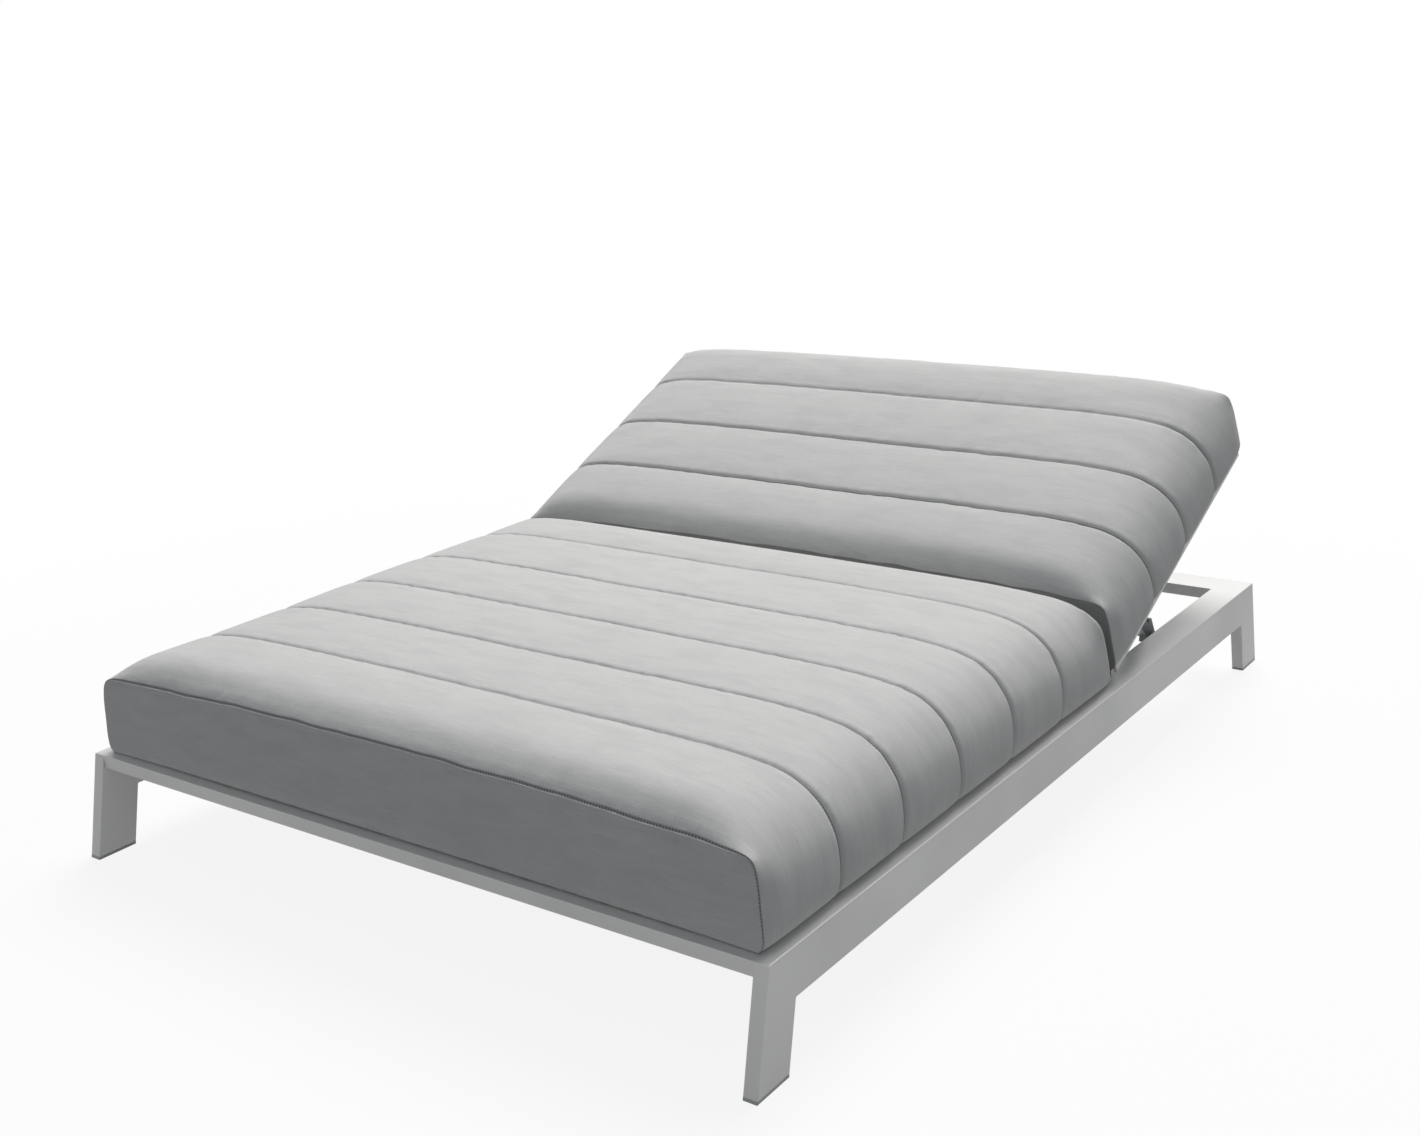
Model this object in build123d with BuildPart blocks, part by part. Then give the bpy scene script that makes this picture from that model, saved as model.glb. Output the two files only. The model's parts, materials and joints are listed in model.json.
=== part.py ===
from build123d import *
from math import cos, radians, sin, sqrt
import os

os.makedirs("parts", exist_ok=True)

# Double chaise lounger with a raised backrest, in millimetres.
# X runs across the lounger, Y from the foot end to the head end, Z up.
# The origin is on the ground at the middle of the footprint. Right is +X, seen from the foot end.

# Frame ring: tube lying flat at both ends, tube on edge at both sides, a ledge inside each side
frame_length = 1940.0
frame_width = 1500.0
frame_height = 195.0
tube_depth = 80.0
tube_thickness = 25.0
tube_wall = 2.0
ledge_width = 40.0
leg_rake = 42.0
leg_depth = 81.0

# Foot glides under the legs
glide_height = 6.0
glide_plug_height = 22.0
plug_clearance = 0.3

# Seat platform
slat_width = 60.0
slat_height = 15.0
slat_wall = 1.5
seat_slat_count = 7
bearer_width = 40.0
bearer_height = 40.0
hinge_bearer_from_hinge = 24.0

# Backrest frame, reclined about the hinge line
recline_angle = 24.0
hinge_from_head_end = 701.0
flat_clearance = 0.5
back_tube_width = 40.0
back_tube_height = 20.0
back_tube_wall = 2.0
back_frame_inset = 30.0
back_rail_start = 14.0
back_rail_end = 716.0
back_slat_count = 4
end_cap_thickness = 2.0
end_cap_plug = 15.0
bumper_radius = 8.0
bumper_from_rail_edge = 19.0

# Main hinge
bracket_plate_thickness = 3.0
bracket_front_reach = 33.0
bracket_width = 28.0
ear_thickness = 4.0
knuckle_inset = 0.5
knuckle_gap = 0.5
hinge_pin_radius = 4.0
hinge_head_radius = 7.0
hinge_head_height = 3.0
bush_wall = 1.95
running_clearance = 0.05
leaf_neck_height = 15.4
leaf_flange_thickness = 3.0
leaf_spigot_length = 40.0
hinge_screw_radius = 2.2
hinge_screw_head_radius = 4.4
hinge_screw_length = 12.0
hinge_screw_spread = 7.0
hinge_screw_from_front = 9.0
screw_clearance = 0.2

# Prop stay: two arms on a foot bar that stands on notched racks
prop_pivot_along = 224.0
prop_top_clearance = 1.5
prop_length = 167.6
foot_below_ring_top = 25.0
prop_arm_thickness = 18.0
prop_arm_depth = 25.0
prop_pin_radius = 5.0
prop_pin_head_radius = 8.0
prop_pin_head_height = 3.7
washer_radius = 9.0
washer_gap = 2.0
washer_clearance = 0.2
lug_thickness = 20.0
lug_half_length = 15.0
lug_below_pivot = 14.0
lug_top_above_frame_middle = 8.0
foot_bar_radius = 8.0
foot_bar_wall = 2.0
foot_cap_thickness = 2.0
foot_cap_plug = 14.0
foot_sole = 4.0
foot_front = 22.0
foot_rear = 28.0
foot_top_height = 36.0
foot_top_front = 11.0

# Racks on the inner faces of the ledges
rack_plate_thickness = 5.0
rack_end_gap = 1.0
rack_front_margin = 28.0
rack_rear_margin = 41.0
rack_plate_top_drop = 10.0
rack_plate_below_bar = 8.0
rack_bar_width = 16.0
rack_bar_height = 13.5
rack_tooth_gap = 0.5
notch_radius = 8.5
notch_depth = 6.0
notch_angles = (12.0, 24.0, 36.0)
rack_screw_radius = 2.4
rack_screw_head_radius = 4.5
rack_screw_head_height = 3.0
rack_screw_length = 15.0
rack_screw_inset = 7.0
rack_screw_from_plate_top = 7.0

# Cushions
soft_gap = 0.3
seat_front_inset = 19.0
seat_rear_to_hinge = 41.0
seat_rear_lean = 17.0
seat_rear_corner_width = 67.0
seat_rear_shoulder_height = 176.0
seat_rear_crown = 182.0
seat_seam_shares = (0.167, 0.326, 0.481, 0.646, 0.821)
back_cushion_start = -5.0
back_cushion_end = 716.0
back_end_lean = 8.0
back_seam_shares = (0.274, 0.517, 0.76)
cushion_side_inset = 26.0
cushion_bulge = 11.0
cushion_edge_height = 112.0
cushion_corner_width = 87.0
cushion_shoulder_height = 181.0
cushion_crown = 200.0
back_crown_drop = 6.0
end_bulge = -2.0
end_edge_height = 118.0
end_corner_width = 29.0
end_shoulder_height = 147.0
end_crown = 165.0
pillow_rise = 7.0
pillow_swell = 4.0
bulge_height_share = 0.55
edge_bulge_share = 0.3
corner_out_share = 0.72
corner_up_share = 0.62
crest_share = 0.5
middle_share = 0.5
end_crest_share = 0.42

# Sizes that follow from those above
half_length = frame_length / 2
half_width = frame_width / 2
side_inner = half_width - tube_thickness
ledge_inner = side_inner - ledge_width
ledge_bottom = frame_height - tube_thickness
rail_bottom = frame_height - tube_depth
ring_inner_end = half_length - tube_depth
half_tube = back_tube_height / 2
hinge_y = half_length - hinge_from_head_end
hinge_z = frame_height + bracket_plate_thickness + flat_clearance + half_tube
hinge_bearer_rear = hinge_y - hinge_bearer_from_hinge
hinge_bearer_front = hinge_bearer_rear - bearer_width
ear_radius = half_tube
knuckle_radius = half_tube - knuckle_inset
back_half = half_width - back_frame_inset
back_inner = back_half - back_tube_width
hinge_x = back_half - back_tube_width / 2
prop_pivot_below = half_tube + prop_arm_depth / 2 + prop_top_clearance
lug_low = back_inner - lug_thickness
prop_arm_outer = lug_low - washer_gap
prop_arm_inner = prop_arm_outer - prop_arm_thickness
rack_face = ledge_inner - rack_plate_thickness
cushion_half_width = half_width - cushion_side_inset
seat_cushion_front = half_length - seat_front_inset
seat_cushion_rear = hinge_y - seat_rear_to_hinge
foot_bar_half = rack_face - rack_end_gap
bumper_height = hinge_z - half_tube - soft_gap - frame_height
seat_top = frame_height + soft_gap
back_top = half_tube + soft_gap
sides = ((-1, "left"), (1, "right"))
ends = ((-1, "front"), (1, "rear"))

recline_cos = cos(radians(recline_angle))
recline_sin = sin(radians(recline_angle))
along_back = Vector(0, recline_cos, recline_sin)
off_back = Vector(0, -recline_sin, recline_cos)
hinge_point = Vector(0, hinge_y, hinge_z)
across_x = Vector(1, 0, 0)
back_plane = Plane(origin=hinge_point, x_dir=across_x, z_dir=off_back)

# The prop at rest: its pivot hangs below the backrest rails, its foot bar stands over the racks
prop_pivot = hinge_point + along_back * prop_pivot_along - off_back * prop_pivot_below
foot_z = frame_height - foot_below_ring_top
rack_plate_top = frame_height - rack_plate_top_drop
rack_top = foot_z - foot_bar_radius - rack_tooth_gap


def foot_y_at(angle):
    """Y of the foot bar when it stands on the rack and the backrest is at an angle."""
    along = Vector(0, cos(radians(angle)), sin(radians(angle)))
    off = Vector(0, -sin(radians(angle)), cos(radians(angle)))
    pivot = hinge_point + along * prop_pivot_along - off * prop_pivot_below
    return pivot.Y + sqrt(prop_length**2 - (pivot.Z - foot_z) ** 2)


foot_point = Vector(0, foot_y_at(recline_angle), foot_z)
foot_place = (foot_point.Y, foot_point.Z)
along_prop = (foot_point - prop_pivot).normalized()
notch_places = [foot_y_at(angle) for angle in notch_angles]
rack_start = min(notch_places) - rack_front_margin
rack_end = max(notch_places) + rack_rear_margin


def save(piece, node):
    """Label a finished piece and write its STEP file."""
    piece.part.label = node
    export_step(piece.part, f"parts/{node}.step")


def span_on(side, inner, outer):
    """Low and high X of a piece between two distances from the middle, on one side."""
    return (inner, outer) if side > 0 else (-outer, -inner)


def bar(plane, across, along, up, mode=Mode.ADD):
    """Solid bar between the low and high values along the three directions of a plane."""
    with BuildSketch(plane.offset(up[0])) as profile:
        with Locations(((across[0] + across[1]) / 2, (along[0] + along[1]) / 2)):
            Rectangle(across[1] - across[0], along[1] - along[0])
    extrude(profile.sketch, amount=up[1] - up[0], mode=mode)


def tube(plane, across, along, up, wall, open_axis):
    """Rectangular tube with open ends along one of the three directions."""
    bar(plane, across, along, up)
    spans = [(low + wall, high - wall) for low, high in (across, along, up)]
    spans[open_axis] = (across, along, up)[open_axis]
    bar(plane, *spans, mode=Mode.SUBTRACT)


def side_profile(x_low, thickness, points, mode=Mode.ADD):
    """Prism of an outline in Y and Z, starting at one X and running towards +X."""
    with BuildSketch(Plane.YZ.offset(x_low)) as profile:
        with BuildLine():
            Polyline(*points, close=True)
        make_face()
    extrude(profile.sketch, amount=thickness, mode=mode)


def back_side_plane(x):
    """Plane square to X whose directions run along the backrest and off it."""
    return Plane(origin=hinge_point + across_x * x, x_dir=along_back, z_dir=across_x)


def rod(plane, place, radius, length, mode=Mode.ADD):
    """Round rod on a plane, centred on a place in it."""
    with BuildSketch(plane) as profile:
        with Locations(place):
            Circle(radius)
    extrude(profile.sketch, amount=length, mode=mode)


# End rails and the rails along the sides
for end, end_name in ends:
    with BuildPart() as end_rail:
        along = span_on(end, ring_inner_end, half_length)
        tube(Plane.XY, (-side_inner, side_inner), along, (ledge_bottom, frame_height), tube_wall, 0)
    save(end_rail, f"{end_name}_rail")

# Leg and side rail meet in a mitre that runs from the top corner to the inner corner
rake_share = leg_rake / frame_height
mitre_inner_y = half_length + rake_share * tube_depth - leg_depth
rack_screw_z = rack_plate_top - rack_screw_from_plate_top
rack_screw_places = (
    (rack_start + rack_screw_inset, rack_screw_z),
    (rack_end - rack_screw_inset, rack_screw_z),
)
bracket_front = hinge_y - bracket_front_reach
hinge_screw_y = bracket_front + hinge_screw_from_front
hinge_screw_xs = (hinge_x - hinge_screw_spread, hinge_x + hinge_screw_spread)

for side, side_name in sides:
    with BuildPart() as side_rail:
        x_low = span_on(side, side_inner, half_width)[0]
        outline = (
            (-half_length, frame_height),
            (half_length, frame_height),
            (mitre_inner_y, rail_bottom),
            (-mitre_inner_y, rail_bottom),
        )
        side_profile(x_low, tube_thickness, outline)
        cavity = span_on(side, side_inner + tube_wall, half_width - tube_wall)
        cavity_up = (rail_bottom + tube_wall, frame_height - tube_wall)
        bar(Plane.XY, cavity, (-half_length, half_length), cavity_up, mode=Mode.SUBTRACT)
    save(side_rail, f"{side_name}_side_rail")

    with BuildPart() as ledge_rail:
        across = span_on(side, ledge_inner, side_inner)
        run = (-ring_inner_end, ring_inner_end)
        tube(Plane.XY, across, run, (ledge_bottom, frame_height), tube_wall, 1)
        wall_plane = Plane.YZ.offset(across[0] if side > 0 else across[1] - tube_wall)
        for place in rack_screw_places:
            rod(wall_plane, place, rack_screw_radius + screw_clearance, tube_wall, mode=Mode.SUBTRACT)
        top_plane = Plane.XY.offset(frame_height - tube_wall)
        for x in hinge_screw_xs:
            hole_radius = hinge_screw_radius + screw_clearance
            rod(top_plane, (side * x, hinge_screw_y), hole_radius, tube_wall, mode=Mode.SUBTRACT)
    save(ledge_rail, f"{side_name}_ledge_rail")


def leg_outline(end, low, high, inset):
    """Outline of a leg between two heights, drawn in from both edges by a distance."""
    outer_low = half_length + rake_share * (frame_height - low) - inset
    outer_high = half_length + rake_share * (frame_height - high) - inset
    depth = leg_depth - 2 * inset
    return (
        (end * outer_low, low),
        (end * outer_high, high),
        (end * (outer_high - depth), high),
        (end * (outer_low - depth), low),
    )


# Legs with their glides
for end, end_name in ends:
    for side, side_name in sides:
        x_low = span_on(side, side_inner, half_width)[0]
        with BuildPart() as leg:
            outline = leg_outline(end, glide_height, frame_height, 0)
            mitred = (
                outline[0],
                (end * half_length, frame_height),
                (end * mitre_inner_y, rail_bottom),
                outline[3],
            )
            side_profile(x_low, tube_thickness, mitred)
            cavity = leg_outline(end, glide_height, frame_height, tube_wall)
            side_profile(x_low + tube_wall, tube_thickness - 2 * tube_wall, cavity, mode=Mode.SUBTRACT)
        save(leg, f"{end_name}_{side_name}_leg")

        with BuildPart() as glide:
            side_profile(x_low, tube_thickness, leg_outline(end, 0, glide_height, 0))
            inset = tube_wall + plug_clearance
            plug = leg_outline(end, glide_height, glide_plug_height + glide_height, inset)
            side_profile(x_low + inset, tube_thickness - 2 * inset, plug)
        save(glide, f"{end_name}_{side_name}_glide")

# Seat platform: slats level with the ring, a bearer under their middle and a bearer by the hinges
slat_up = (frame_height - slat_height, frame_height)
slat_pitch = (hinge_bearer_front + ring_inner_end) / seat_slat_count
for number in range(seat_slat_count):
    with BuildPart() as seat_slat:
        middle = -ring_inner_end + slat_pitch * (number + middle_share)
        along = (middle - slat_width / 2, middle + slat_width / 2)
        tube(Plane.XY, (-ledge_inner, ledge_inner), along, slat_up, slat_wall, 0)
    save(seat_slat, f"seat_slat_{number + 1}")

with BuildPart() as hinge_bearer:
    along = (hinge_bearer_front, hinge_bearer_rear)
    tube(Plane.XY, (-ledge_inner, ledge_inner), along, (ledge_bottom, frame_height), tube_wall, 0)
save(hinge_bearer, "hinge_bearer")

with BuildPart() as centre_bearer:
    bearer_top = frame_height - slat_height
    across = (-bearer_width / 2, bearer_width / 2)
    along = (-ring_inner_end, hinge_bearer_front)
    tube(Plane.XY, across, along, (bearer_top - bearer_height, bearer_top), tube_wall, 1)
save(centre_bearer, "centre_bearer")

# Backrest frame, all in the plane of the backrest with the hinge line as its origin
rail_up = (-half_tube, half_tube)
back_run = (back_rail_start, back_rail_end)
lower_rail_end = back_rail_start + back_tube_width
upper_rail_start = back_rail_end - back_tube_width
for side, side_name in sides:
    with BuildPart() as back_side_rail:
        tube(back_plane, span_on(side, back_inner, back_half), back_run, rail_up, back_tube_wall, 1)
    save(back_side_rail, f"back_{side_name}_rail")

with BuildPart() as back_lower_rail:
    along = (back_rail_start, lower_rail_end)
    tube(back_plane, (-back_inner, back_inner), along, rail_up, back_tube_wall, 0)
save(back_lower_rail, "back_lower_rail")

with BuildPart() as back_upper_rail:
    along = (upper_rail_start, back_rail_end)
    tube(back_plane, (-back_inner, back_inner), along, rail_up, back_tube_wall, 0)
save(back_upper_rail, "back_upper_rail")

back_pitch = (upper_rail_start - lower_rail_end) / back_slat_count
back_slat_up = (half_tube - slat_height, half_tube)
for number in range(back_slat_count):
    with BuildPart() as back_slat:
        middle = lower_rail_end + back_pitch * (number + middle_share)
        along = (middle - slat_width / 2, middle + slat_width / 2)
        tube(back_plane, (-back_inner, back_inner), along, back_slat_up, slat_wall, 0)
    save(back_slat, f"back_slat_{number + 1}")

plug_inset = back_tube_wall + plug_clearance
plug_up = (-half_tube + plug_inset, half_tube - plug_inset)
with BuildPart() as back_end_caps:
    for side, side_name in sides:
        across = span_on(side, back_inner, back_half)
        plug_across = (across[0] + plug_inset, across[1] - plug_inset)
        bar(back_plane, across, (back_rail_end, back_rail_end + end_cap_thickness), rail_up)
        bar(back_plane, plug_across, (back_rail_end - end_cap_plug, back_rail_end), plug_up)
save(back_end_caps, "back_end_caps")

with BuildPart() as back_bumpers:
    for side, side_name in sides:
        place = (side * hinge_x, ring_inner_end + bumper_from_rail_edge - hinge_y)
        rod(back_plane.offset(-half_tube - bumper_height), place, bumper_radius, bumper_height)
save(back_bumpers, "back_bumpers")

# Main hinge: clevis brackets on the ledges, leaves plugged into the backrest rails
bracket_low = hinge_x - bracket_width / 2
bracket_high = hinge_x + bracket_width / 2
knuckle_low = bracket_low + ear_thickness + knuckle_gap
knuckle_high = bracket_high - ear_thickness - knuckle_gap
plate_top = frame_height + bracket_plate_thickness
bush_radius = hinge_pin_radius + running_clearance + bush_wall
neck_half = leaf_neck_height / 2
flange_start = back_rail_start - leaf_flange_thickness
for side, side_name in sides:
    with BuildPart() as hinge_bracket:
        across = span_on(side, bracket_low, bracket_high)
        bar(Plane.XY, across, (bracket_front, hinge_y + ear_radius), (frame_height, plate_top))
        for ear_low in (bracket_low, bracket_high - ear_thickness):
            ear_x = span_on(side, ear_low, ear_low + ear_thickness)
            bar(Plane.XY, ear_x, (hinge_y - ear_radius, hinge_y + ear_radius), (plate_top, hinge_z))
            rod(Plane.YZ.offset(ear_x[0]), (hinge_y, hinge_z), ear_radius, ear_thickness)
        pin_hole = hinge_pin_radius + running_clearance
        rod(Plane.YZ.offset(across[0]), (hinge_y, hinge_z), pin_hole, bracket_width, mode=Mode.SUBTRACT)
        with Locations(Plane.XY.offset(plate_top)):
            with Locations([(side * x, hinge_screw_y) for x in hinge_screw_xs]):
                sink_radius = hinge_screw_head_radius + screw_clearance
                CounterSinkHole(hinge_screw_radius + screw_clearance, sink_radius)
    save(hinge_bracket, f"hinge_bracket_{side_name}")

    with BuildPart() as hinge_leaf:
        knuckle_x = span_on(side, knuckle_low, knuckle_high)
        knuckle_width = knuckle_x[1] - knuckle_x[0]
        rail_x = span_on(side, back_inner, back_half)
        rod(back_side_plane(knuckle_x[0]), (0, 0), knuckle_radius, knuckle_width)
        bar(back_plane, knuckle_x, (0, flange_start), (-neck_half, neck_half))
        bar(back_plane, rail_x, (flange_start, back_rail_start), rail_up)
        spigot_x = (rail_x[0] + plug_inset, rail_x[1] - plug_inset)
        spigot_run = (back_rail_start, back_rail_start + leaf_spigot_length)
        bar(back_plane, spigot_x, spigot_run, plug_up)
        bore_radius = bush_radius + running_clearance
        rod(back_side_plane(knuckle_x[0]), (0, 0), bore_radius, knuckle_width, mode=Mode.SUBTRACT)
    save(hinge_leaf, f"hinge_leaf_{side_name}")

with BuildPart() as hinge_bushes:
    for side, side_name in sides:
        knuckle_x = span_on(side, knuckle_low, knuckle_high)
        knuckle_width = knuckle_x[1] - knuckle_x[0]
        rod(back_side_plane(knuckle_x[0]), (0, 0), bush_radius, knuckle_width)
        inner_radius = hinge_pin_radius + running_clearance
        rod(back_side_plane(knuckle_x[0]), (0, 0), inner_radius, knuckle_width, mode=Mode.SUBTRACT)
save(hinge_bushes, "hinge_bushes")

with BuildPart() as hinge_pins:
    for side, side_name in sides:
        shank_x = span_on(side, bracket_low - hinge_head_height, bracket_high)
        head_x = span_on(side, bracket_high, bracket_high + hinge_head_height)
        shank_length = shank_x[1] - shank_x[0]
        rod(Plane.YZ.offset(shank_x[0]), (hinge_y, hinge_z), hinge_pin_radius, shank_length)
        rod(Plane.YZ.offset(head_x[0]), (hinge_y, hinge_z), hinge_head_radius, hinge_head_height)
save(hinge_pins, "hinge_pins")

with BuildPart() as hinge_screws:
    sink_depth = hinge_screw_head_radius - hinge_screw_radius
    for side, side_name in sides:
        for x in hinge_screw_xs:
            shank_plane = Plane.XY.offset(plate_top - hinge_screw_length)
            rod(shank_plane, (side * x, hinge_screw_y), hinge_screw_radius, hinge_screw_length)
            with BuildSketch(Plane.XY.offset(plate_top - sink_depth)):
                with Locations((side * x, hinge_screw_y)):
                    Circle(hinge_screw_radius)
            with BuildSketch(Plane.XY.offset(plate_top)):
                with Locations((side * x, hinge_screw_y)):
                    Circle(hinge_screw_head_radius)
            loft()
save(hinge_screws, "hinge_screws")

# Prop stay


def prop_plane(x):
    """Plane square to X at the prop's pivot, with its first direction down the arm."""
    return Plane(origin=prop_pivot + across_x * x, x_dir=along_prop, z_dir=across_x)


lug_run = (prop_pivot_along - lug_half_length, prop_pivot_along + lug_half_length)
lug_up = (-prop_pivot_below - lug_below_pivot, lug_top_above_frame_middle)
for side, side_name in sides:
    with BuildPart() as prop_lug:
        lug_x = span_on(side, lug_low, back_inner)
        bar(back_plane, lug_x, lug_run, lug_up)
        hole = prop_pin_radius + running_clearance
        rod(prop_plane(lug_x[0]), (0, 0), hole, lug_x[1] - lug_x[0], mode=Mode.SUBTRACT)
    save(prop_lug, f"prop_lug_{side_name}")

    with BuildPart() as prop_arm:
        arm_x = span_on(side, prop_arm_inner, prop_arm_outer)
        half_depth = prop_arm_depth / 2
        rod(prop_plane(arm_x[0]), (0, 0), half_depth, prop_arm_thickness)
        with BuildSketch(prop_plane(arm_x[0])):
            with Locations((prop_length / 2, 0)):
                Rectangle(prop_length, prop_arm_depth)
        extrude(amount=prop_arm_thickness)
        sole_z = foot_point.Z - foot_bar_radius - foot_sole
        foot_outline = (
            (foot_point.Y - foot_front, sole_z),
            (foot_point.Y + foot_rear, sole_z),
            (foot_point.Y, foot_point.Z + foot_top_height),
            (foot_point.Y - foot_top_front, foot_point.Z + foot_top_height),
        )
        side_profile(arm_x[0], prop_arm_thickness, foot_outline)
        floor_cut = (sole_z - prop_length, sole_z)
        foot_reach = (foot_point.Y - prop_length, foot_point.Y + prop_length)
        bar(Plane.XY, arm_x, foot_reach, floor_cut, mode=Mode.SUBTRACT)
        pin_hole = prop_pin_radius + running_clearance
        rod(prop_plane(arm_x[0]), (0, 0), pin_hole, prop_arm_thickness, mode=Mode.SUBTRACT)
        bar_hole = foot_bar_radius + running_clearance
        rod(Plane.YZ.offset(arm_x[0]), foot_place, bar_hole, prop_arm_thickness, mode=Mode.SUBTRACT)
    save(prop_arm, f"prop_arm_{side_name}")

with BuildPart() as prop_foot_bar:
    half_bar = foot_bar_half - foot_cap_thickness
    bar_plane = Plane.YZ.offset(-half_bar)
    bore = foot_bar_radius - foot_bar_wall
    rod(bar_plane, foot_place, foot_bar_radius, 2 * half_bar)
    rod(bar_plane, foot_place, bore, 2 * half_bar, mode=Mode.SUBTRACT)
save(prop_foot_bar, "prop_foot_bar")

with BuildPart() as foot_bar_caps:
    for side, side_name in sides:
        cap_x = span_on(side, half_bar, foot_bar_half)
        plug_x = span_on(side, half_bar - foot_cap_plug, half_bar)
        rod(Plane.YZ.offset(cap_x[0]), foot_place, foot_bar_radius, foot_cap_thickness)
        rod(Plane.YZ.offset(plug_x[0]), foot_place, bore - plug_clearance, foot_cap_plug)
save(foot_bar_caps, "foot_bar_caps")

with BuildPart() as prop_pins:
    for side, side_name in sides:
        head_inner = prop_arm_inner - prop_pin_head_height - washer_clearance
        head_outer = prop_arm_inner - washer_clearance
        head_x = span_on(side, head_inner, head_outer)
        shank_x = span_on(side, head_outer, back_inner)
        rod(prop_plane(head_x[0]), (0, 0), prop_pin_head_radius, prop_pin_head_height)
        rod(prop_plane(shank_x[0]), (0, 0), prop_pin_radius, shank_x[1] - shank_x[0])
save(prop_pins, "prop_pins")

with BuildPart() as prop_washers:
    for side, side_name in sides:
        washer_x = span_on(side, prop_arm_outer + washer_clearance, lug_low - washer_clearance)
        washer_thickness = washer_x[1] - washer_x[0]
        washer_hole = prop_pin_radius + running_clearance
        rod(prop_plane(washer_x[0]), (0, 0), washer_radius, washer_thickness)
        rod(prop_plane(washer_x[0]), (0, 0), washer_hole, washer_thickness, mode=Mode.SUBTRACT)
save(prop_washers, "prop_washers")


# Racks: a plate on each ledge, and a notched bar just under the foot bar
for side, side_name in sides:
    with BuildPart() as rack_plate:
        plate_x = span_on(side, rack_face, ledge_inner)
        plate_up = (rack_top - rack_bar_height - rack_plate_below_bar, rack_plate_top)
        bar(Plane.XY, plate_x, (rack_start, rack_end), plate_up)
        for place in rack_screw_places:
            hole = rack_screw_radius + screw_clearance
            rod(Plane.YZ.offset(plate_x[0]), place, hole, rack_plate_thickness, mode=Mode.SUBTRACT)
    save(rack_plate, f"rack_plate_{side_name}")

    with BuildPart() as rack_bar:
        bar_x = span_on(side, rack_face - rack_bar_width, rack_face)
        bar(Plane.XY, bar_x, (rack_start, rack_end), (rack_top - rack_bar_height, rack_top))
        for notch_y in notch_places:
            place = (notch_y, rack_top + notch_radius - notch_depth)
            rod(Plane.YZ.offset(bar_x[0]), place, notch_radius, rack_bar_width, mode=Mode.SUBTRACT)
    save(rack_bar, f"rack_bar_{side_name}")

with BuildPart() as rack_screws:
    for side, side_name in sides:
        head_x = span_on(side, rack_face - rack_screw_head_height, rack_face)
        shank_x = span_on(side, rack_face, rack_face + rack_screw_length)
        for place in rack_screw_places:
            head_plane = Plane.YZ.offset(head_x[0])
            rod(head_plane, place, rack_screw_head_radius, rack_screw_head_height)
            rod(Plane.YZ.offset(shank_x[0]), place, rack_screw_radius, rack_screw_length)
save(rack_screws, "rack_screws")


def cushion_plane(origin, tilt):
    """Plane across a cushion, with its second direction tilted back from +Z by an angle."""
    lean = radians(tilt)
    return Plane(origin=origin, x_dir=across_x, z_dir=Vector(0, -cos(lean), -sin(lean)))


def cushion_section(plane, bulge, edge_height, corner_width, shoulder_height, crown):
    """Cross-section of a cushion: flat base, bulged sides, round corners and a crowned top."""
    edge_x = cushion_half_width + bulge * edge_bulge_share
    shoulder_x = edge_x - corner_width
    corner_x = shoulder_x + corner_width * corner_out_share
    corner_z = edge_height + (shoulder_height - edge_height) * corner_up_share
    bulge_x = cushion_half_width + bulge
    bulge_z = edge_height * bulge_height_share
    with BuildSketch(plane) as profile:
        with BuildLine():
            Line((-cushion_half_width, 0), (cushion_half_width, 0))
            ThreePointArc((cushion_half_width, 0), (bulge_x, bulge_z), (edge_x, edge_height))
            ThreePointArc((edge_x, edge_height), (corner_x, corner_z), (shoulder_x, shoulder_height))
            ThreePointArc((shoulder_x, shoulder_height), (0, crown), (-shoulder_x, shoulder_height))
            ThreePointArc((-shoulder_x, shoulder_height), (-corner_x, corner_z), (-edge_x, edge_height))
            ThreePointArc((-edge_x, edge_height), (-bulge_x, bulge_z), (-cushion_half_width, 0))
        make_face()
    return profile.sketch


def seam_section(plane, drop):
    """Section in a sewn groove, with the crown lowered by a distance."""
    shoulder = cushion_shoulder_height - drop
    crown = cushion_crown - drop
    sizes = (cushion_bulge, cushion_edge_height, cushion_corner_width, shoulder, crown)
    return cushion_section(plane, *sizes)


def crest_section(plane, drop):
    """Section on top of a channel, swelled out from its grooves."""
    shoulder = cushion_shoulder_height + pillow_rise - drop
    crown = cushion_crown + pillow_rise - drop
    bulge = cushion_bulge + pillow_swell
    sizes = (bulge, cushion_edge_height, cushion_corner_width, shoulder, crown)
    return cushion_section(plane, *sizes)


def cushion_channels(base, direction, tilt, seams, leans, panels, drop):
    """Sewn channels between seams, joined in their grooves, with a leaning panel at each end."""
    last = len(seams) - 1
    for number in range(last):
        start = seams[number]
        finish = seams[number + 1]
        share = crest_share
        if number == 0:
            share = 1 - end_crest_share
        if number == last - 1:
            share = end_crest_share
        crest = start + (finish - start) * share
        if number == 0:
            start_plane = cushion_plane(base + direction * start, tilt + leans[0])
            start_section = cushion_section(start_plane, *panels[0])
        else:
            start_section = seam_section(cushion_plane(base + direction * start, tilt), drop)
        middle_section = crest_section(cushion_plane(base + direction * crest, tilt), drop)
        if number == last - 1:
            finish_plane = cushion_plane(base + direction * finish, tilt + leans[1])
            finish_section = cushion_section(finish_plane, *panels[1])
        else:
            finish_section = seam_section(cushion_plane(base + direction * finish, tilt), drop)
        loft([start_section, middle_section, finish_section])


# Sizes of the sections at the end panels, in the order that a section takes them
end_panel = (end_bulge, end_edge_height, end_corner_width, end_shoulder_height, end_crown)
seat_rear_panel = (
    cushion_bulge,
    cushion_edge_height,
    seat_rear_corner_width,
    seat_rear_shoulder_height,
    seat_rear_crown,
)

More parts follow.
